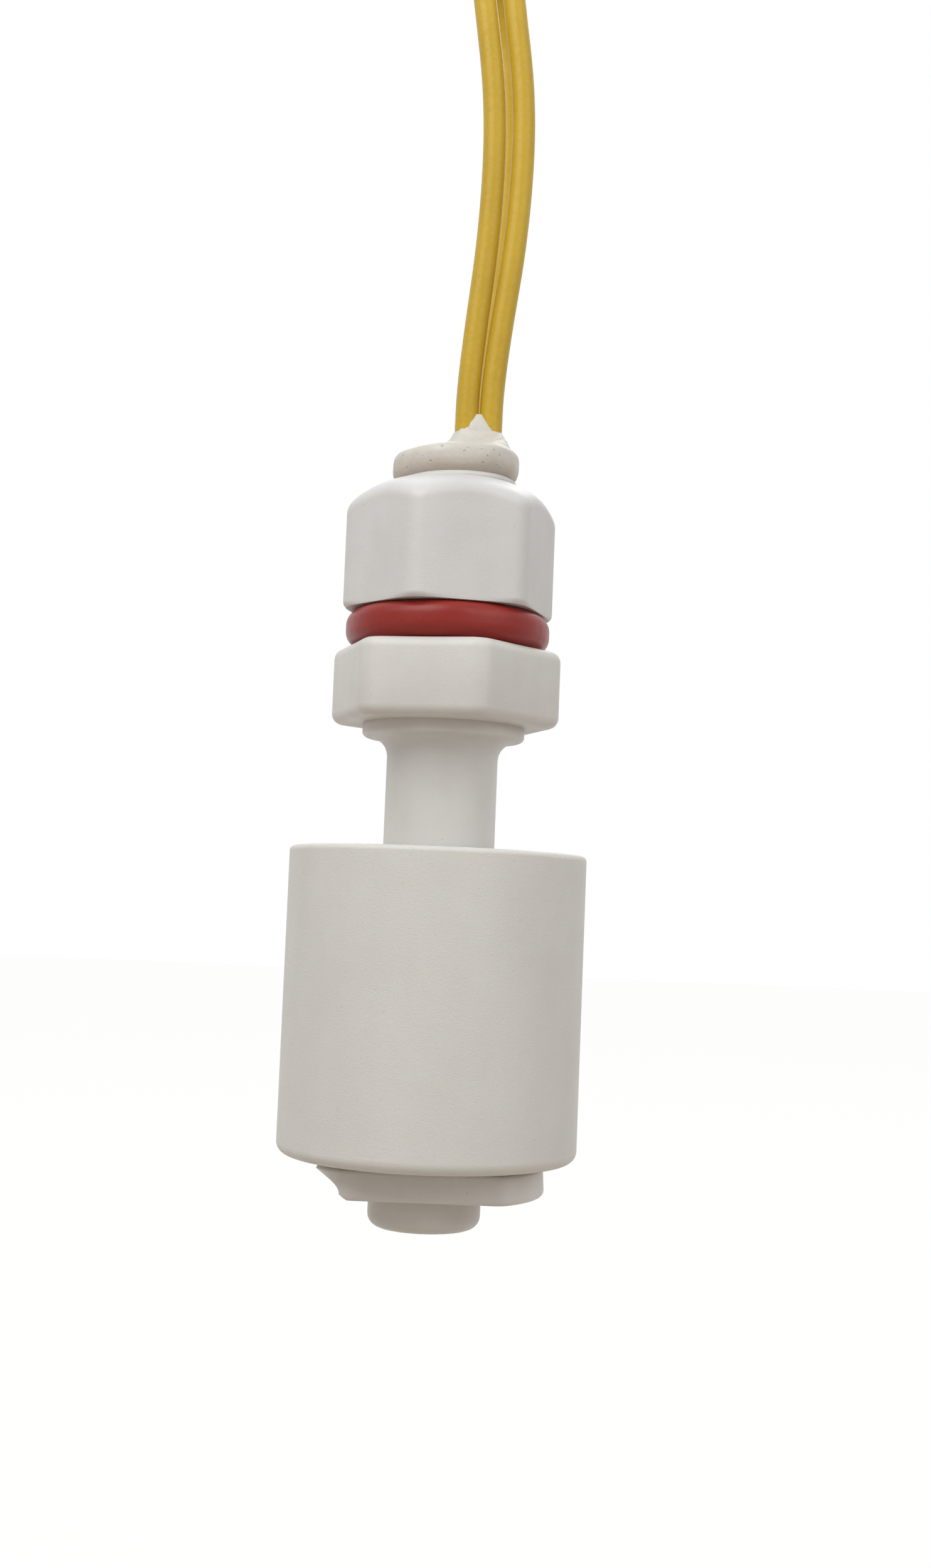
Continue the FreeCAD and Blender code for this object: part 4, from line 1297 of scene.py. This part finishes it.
@dataclass
class CompoundMound:
    """Compound over the shank's end, drawn up round the two leads. In millimetres."""

    skirt: Sequence[tuple[float, float]] = (
        (4.40, 10.35), (4.62, 10.50), (4.86, 10.80), (4.98, 11.15), (5.02, 11.50), (5.03, 12.10),
        (4.97, 12.45), (4.79, 12.69), (4.50, 12.82),
    )
    foot_x: float = 0.15
    neck_x: float = 1.8
    neck_half_wide: float = 1.95
    neck_half_deep: float = 1.04
    neck_low: float = 14.7
    peak: float = 16.3
    peak_half_wide: float = 0.30
    peak_half_deep: float = 0.55
    slope_steps: int = 22
    peak_steps: int = 12
    unevenness: float = 0.14
    slope_unevenness: float = 0.24
    peak_unevenness: float = 0.08
    tilt_right: float = 0.32
    tilt_left: float = 0.16
    straight_left: float = 0.34
    straight_more: float = 0.71
    power_left: float = 7.0
    power_less: float = 4.6
    neck_power: float = 2.6

    def build(self) -> None:
        """Makes the mound, from its skirt on the thread to its ragged edge round the leads."""
        rings = [self._skirt_ring(radius, height) for radius, height in self.skirt]
        rings += [self._slope_ring(step / self.slope_steps) for step in range(1, self.slope_steps + 1)]
        rings += [self._peak_ring(step / self.peak_steps) for step in range(1, self.peak_steps)]
        rings.append(in_metres([(self.neck_x, 0.0, self.peak)]))
        mound = piece_from("compound_mound", skin(rings), sharp=60.0)
        fit(mound, "stem", Surfaces.COMPOUND, "sealing_compound")

    @staticmethod
    def _wobble(east: float, north: float, height: float, scale: float) -> float:
        """An even unevenness, from about -0.5 to 0.5."""
        return noise.noise(Vector((east * scale, north * scale, height * scale * 0.4)))

    def _lift(self, east: float, north: float) -> float:
        """How much higher the mound's rim stands in a direction."""
        tilt = (self.tilt_right if east > 0 else self.tilt_left) * east
        return self.unevenness * self._wobble(east, north, 3.0, 1.3) + tilt

    def _skirt_ring(self, radius: float, height: float) -> Ring:
        """A ring of the skirt, a little lower on one side."""
        ring = []
        for east, north in directions():
            reach = radius + 0.04 * self._wobble(east, north, height, 2.1)
            ring.append((self.foot_x + reach * east, reach * north, height + self._lift(east, north)))
        return in_metres(ring)

    def _slope_ring(self, share: float) -> Ring:
        """A ring between the skirt and the neck, where the mound draws in and up."""
        ring = []
        last_radius, last_height = self.skirt[-1]
        centre = self.foot_x + (self.neck_x - self.foot_x) * share
        for east, north in directions():
            wide = self._neck_reach(east, north, self.neck_half_wide, self.neck_half_deep)
            radius = last_radius + (wide - last_radius) * share
            straight = self.straight_left + self.straight_more * max(0.0, east) ** 1.5
            power = self.power_left - self.power_less * max(0.0, east)
            rise = (self.neck_low - last_height) * (straight * share + (1 - straight) * share**power)
            rough = self.slope_unevenness * self._wobble(east, north, share * 5.0, 2.6)
            rough *= math.sin(math.pi * share)
            up = last_height + rise + rough + self._lift(east, north) * (1 - share)
            ring.append((centre + radius * east, radius * north, up))
        return in_metres(ring)

    def _peak_ring(self, share: float) -> Ring:
        """A ring above the neck, where the compound ends in a peak between the leads."""
        ring = []
        half_wide = self.neck_half_wide + (self.peak_half_wide - self.neck_half_wide) * share
        half_deep = self.neck_half_deep + (self.peak_half_deep - self.neck_half_deep) * share**1.6
        for east, north in directions():
            reach = self._neck_reach(east, north, half_wide, half_deep)
            rough = self._wobble(east, north, share * 4.0, 3.4)
            height = self.neck_low + (self.peak - self.neck_low) * share
            height += self.unevenness * rough * (1 - share)
            across = self.neck_x + reach * east * (1 + self.peak_unevenness * rough)
            ring.append((across, reach * north, height))
        return in_metres(ring)

    def _neck_reach(self, east: float, north: float, half_wide: float, half_deep: float) -> float:
        """Reach of the neck's rounded outline in a direction."""
        power = self.neck_power
        return (abs(east / half_wide) ** power + abs(north / half_deep) ** power) ** (-1 / power)


@dataclass
class InnerLead:
    """A lead's stretch inside the stem, stripped at its lower end. In millimetres."""

    side: Side
    inner_x: float
    top_x: float
    strip: float
    bare: float = 4.5
    radius: float = 0.925
    core_radius: float = 0.4
    core_edge: float = 0.08
    edge: float = 0.06
    bend_low: float = 9.9
    bend_tall: float = 3.0
    bend_steps: int = 12
    top: float = 13.4
    around: int = 32

    def build(self) -> None:
        """Makes the insulation and its core as one welded skin."""
        core_low = self.strip - self.bare
        path = [(self.inner_x, height, radius) for height, radius in (
            (core_low, 0.0), (core_low, self.core_radius * 0.8),
            (core_low + self.core_edge, self.core_radius), (self.strip, self.core_radius),
            (self.strip, self.radius - self.edge), (self.strip + self.edge, self.radius),
        )]
        for step in range(self.bend_steps + 1):
            share = step / self.bend_steps
            ease = share * share * (3 - 2 * share)
            x = self.inner_x + (self.top_x - self.inner_x) * ease
            path.append((x, self.bend_low + self.bend_tall * share, self.radius))
        path += [(self.top_x, self.top, self.radius), (self.top_x, self.top, 0.0)]
        rings = []
        for x, height, radius in path:
            ring = circle_ring(radius, height, self.around)
            rings.append([(x * MM + east, north, up) for east, north, up in ring])
        lead = piece_from(f"inner_lead_{self.side.value}", skin(rings))
        fit(lead, "stem", Surfaces.LEAD, f"wire_{self.side.value}_inner")


# ------------------------------------------------------------------ pieces kept from the frame


DRESSED = {
    "float_cap": Surfaces.FLOAT,
    "ring_magnet": Surfaces.FERRITE,
    "reed_glass": Surfaces.GLASS,
    "reed_blade_upper": Surfaces.REED,
    "reed_blade_lower": Surfaces.REED,
    "solder_joint_upper": Surfaces.SOLDER,
    "solder_joint_lower": Surfaces.SOLDER,
    "joint_sleeve_upper": Surfaces.SLEEVE,
    "joint_sleeve_lower": Surfaces.SLEEVE,
}


@dataclass
class FloatShell:
    """The float's wall and floor, the floor rising from the clip towards the rim. In millimetres."""

    floor: float = -42.9
    inner: float = 4.725
    outer: float = 10.75
    rise: float = 0.42
    reach_up: float = 1.0

    def build(self) -> None:
        """Makes the shell from its frame piece, with the rim lifted off the clip."""
        node = bpy.data.objects["float_shell"]
        mesh = node.data.copy()
        mesh.name = "float_body"
        for point in mesh.vertices:
            place = node.matrix_world @ point.co
            height = place.z / MM
            if height < self.floor + self.reach_up:
                radius = math.hypot(place.x, place.y) / MM
                share = min(1.0, max(0.0, (radius - self.inner) / (self.outer - self.inner)))
                place.z += self.rise * share * MM
            point.co = place
        fit(shown("float_body", mesh), "float", Surfaces.FLOAT, "float_shell")


def dress_kept_pieces(nodes: dict[str, bpy.types.Object]) -> None:
    """Gives each piece that is kept from the frame its finish.

    Args:
        nodes: the frame's pieces by name.
    """
    for name, surface in DRESSED.items():
        paint(nodes[name], surface)
        LOG.info("%s is dressed", name)


# ------------------------------------------------------------------ everything


def main() -> None:
    """Loads the frame, builds each assembly in order, with the inner leads' stripped ends taken from the
    frame, and dresses the kept pieces.
    """
    logging.basicConfig(level=logging.INFO, format="%(message)s")
    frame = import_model()
    Studio().build()
    left_low, right_low = (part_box(f"wire_{side.value}_inner")[0][2] / MM + InnerLead.bare for side in Side)
    assemblies = (
        Leads(), Stem(), ClampingNut(), Gasket(), RetainingClip(), CompoundMound(), FloatShell(),
        InnerLead(Side.LEFT, -0.54, 0.83, left_low), InnerLead(Side.RIGHT, 1.86, 2.77, right_low),
    )
    for assembly in assemblies:
        assembly.build()
        LOG.info("%s is built", type(assembly).__name__)
    dress_kept_pieces(frame["nodes"])
    bpy.context.view_layer.update()


if __name__ == "__main__":
    main()
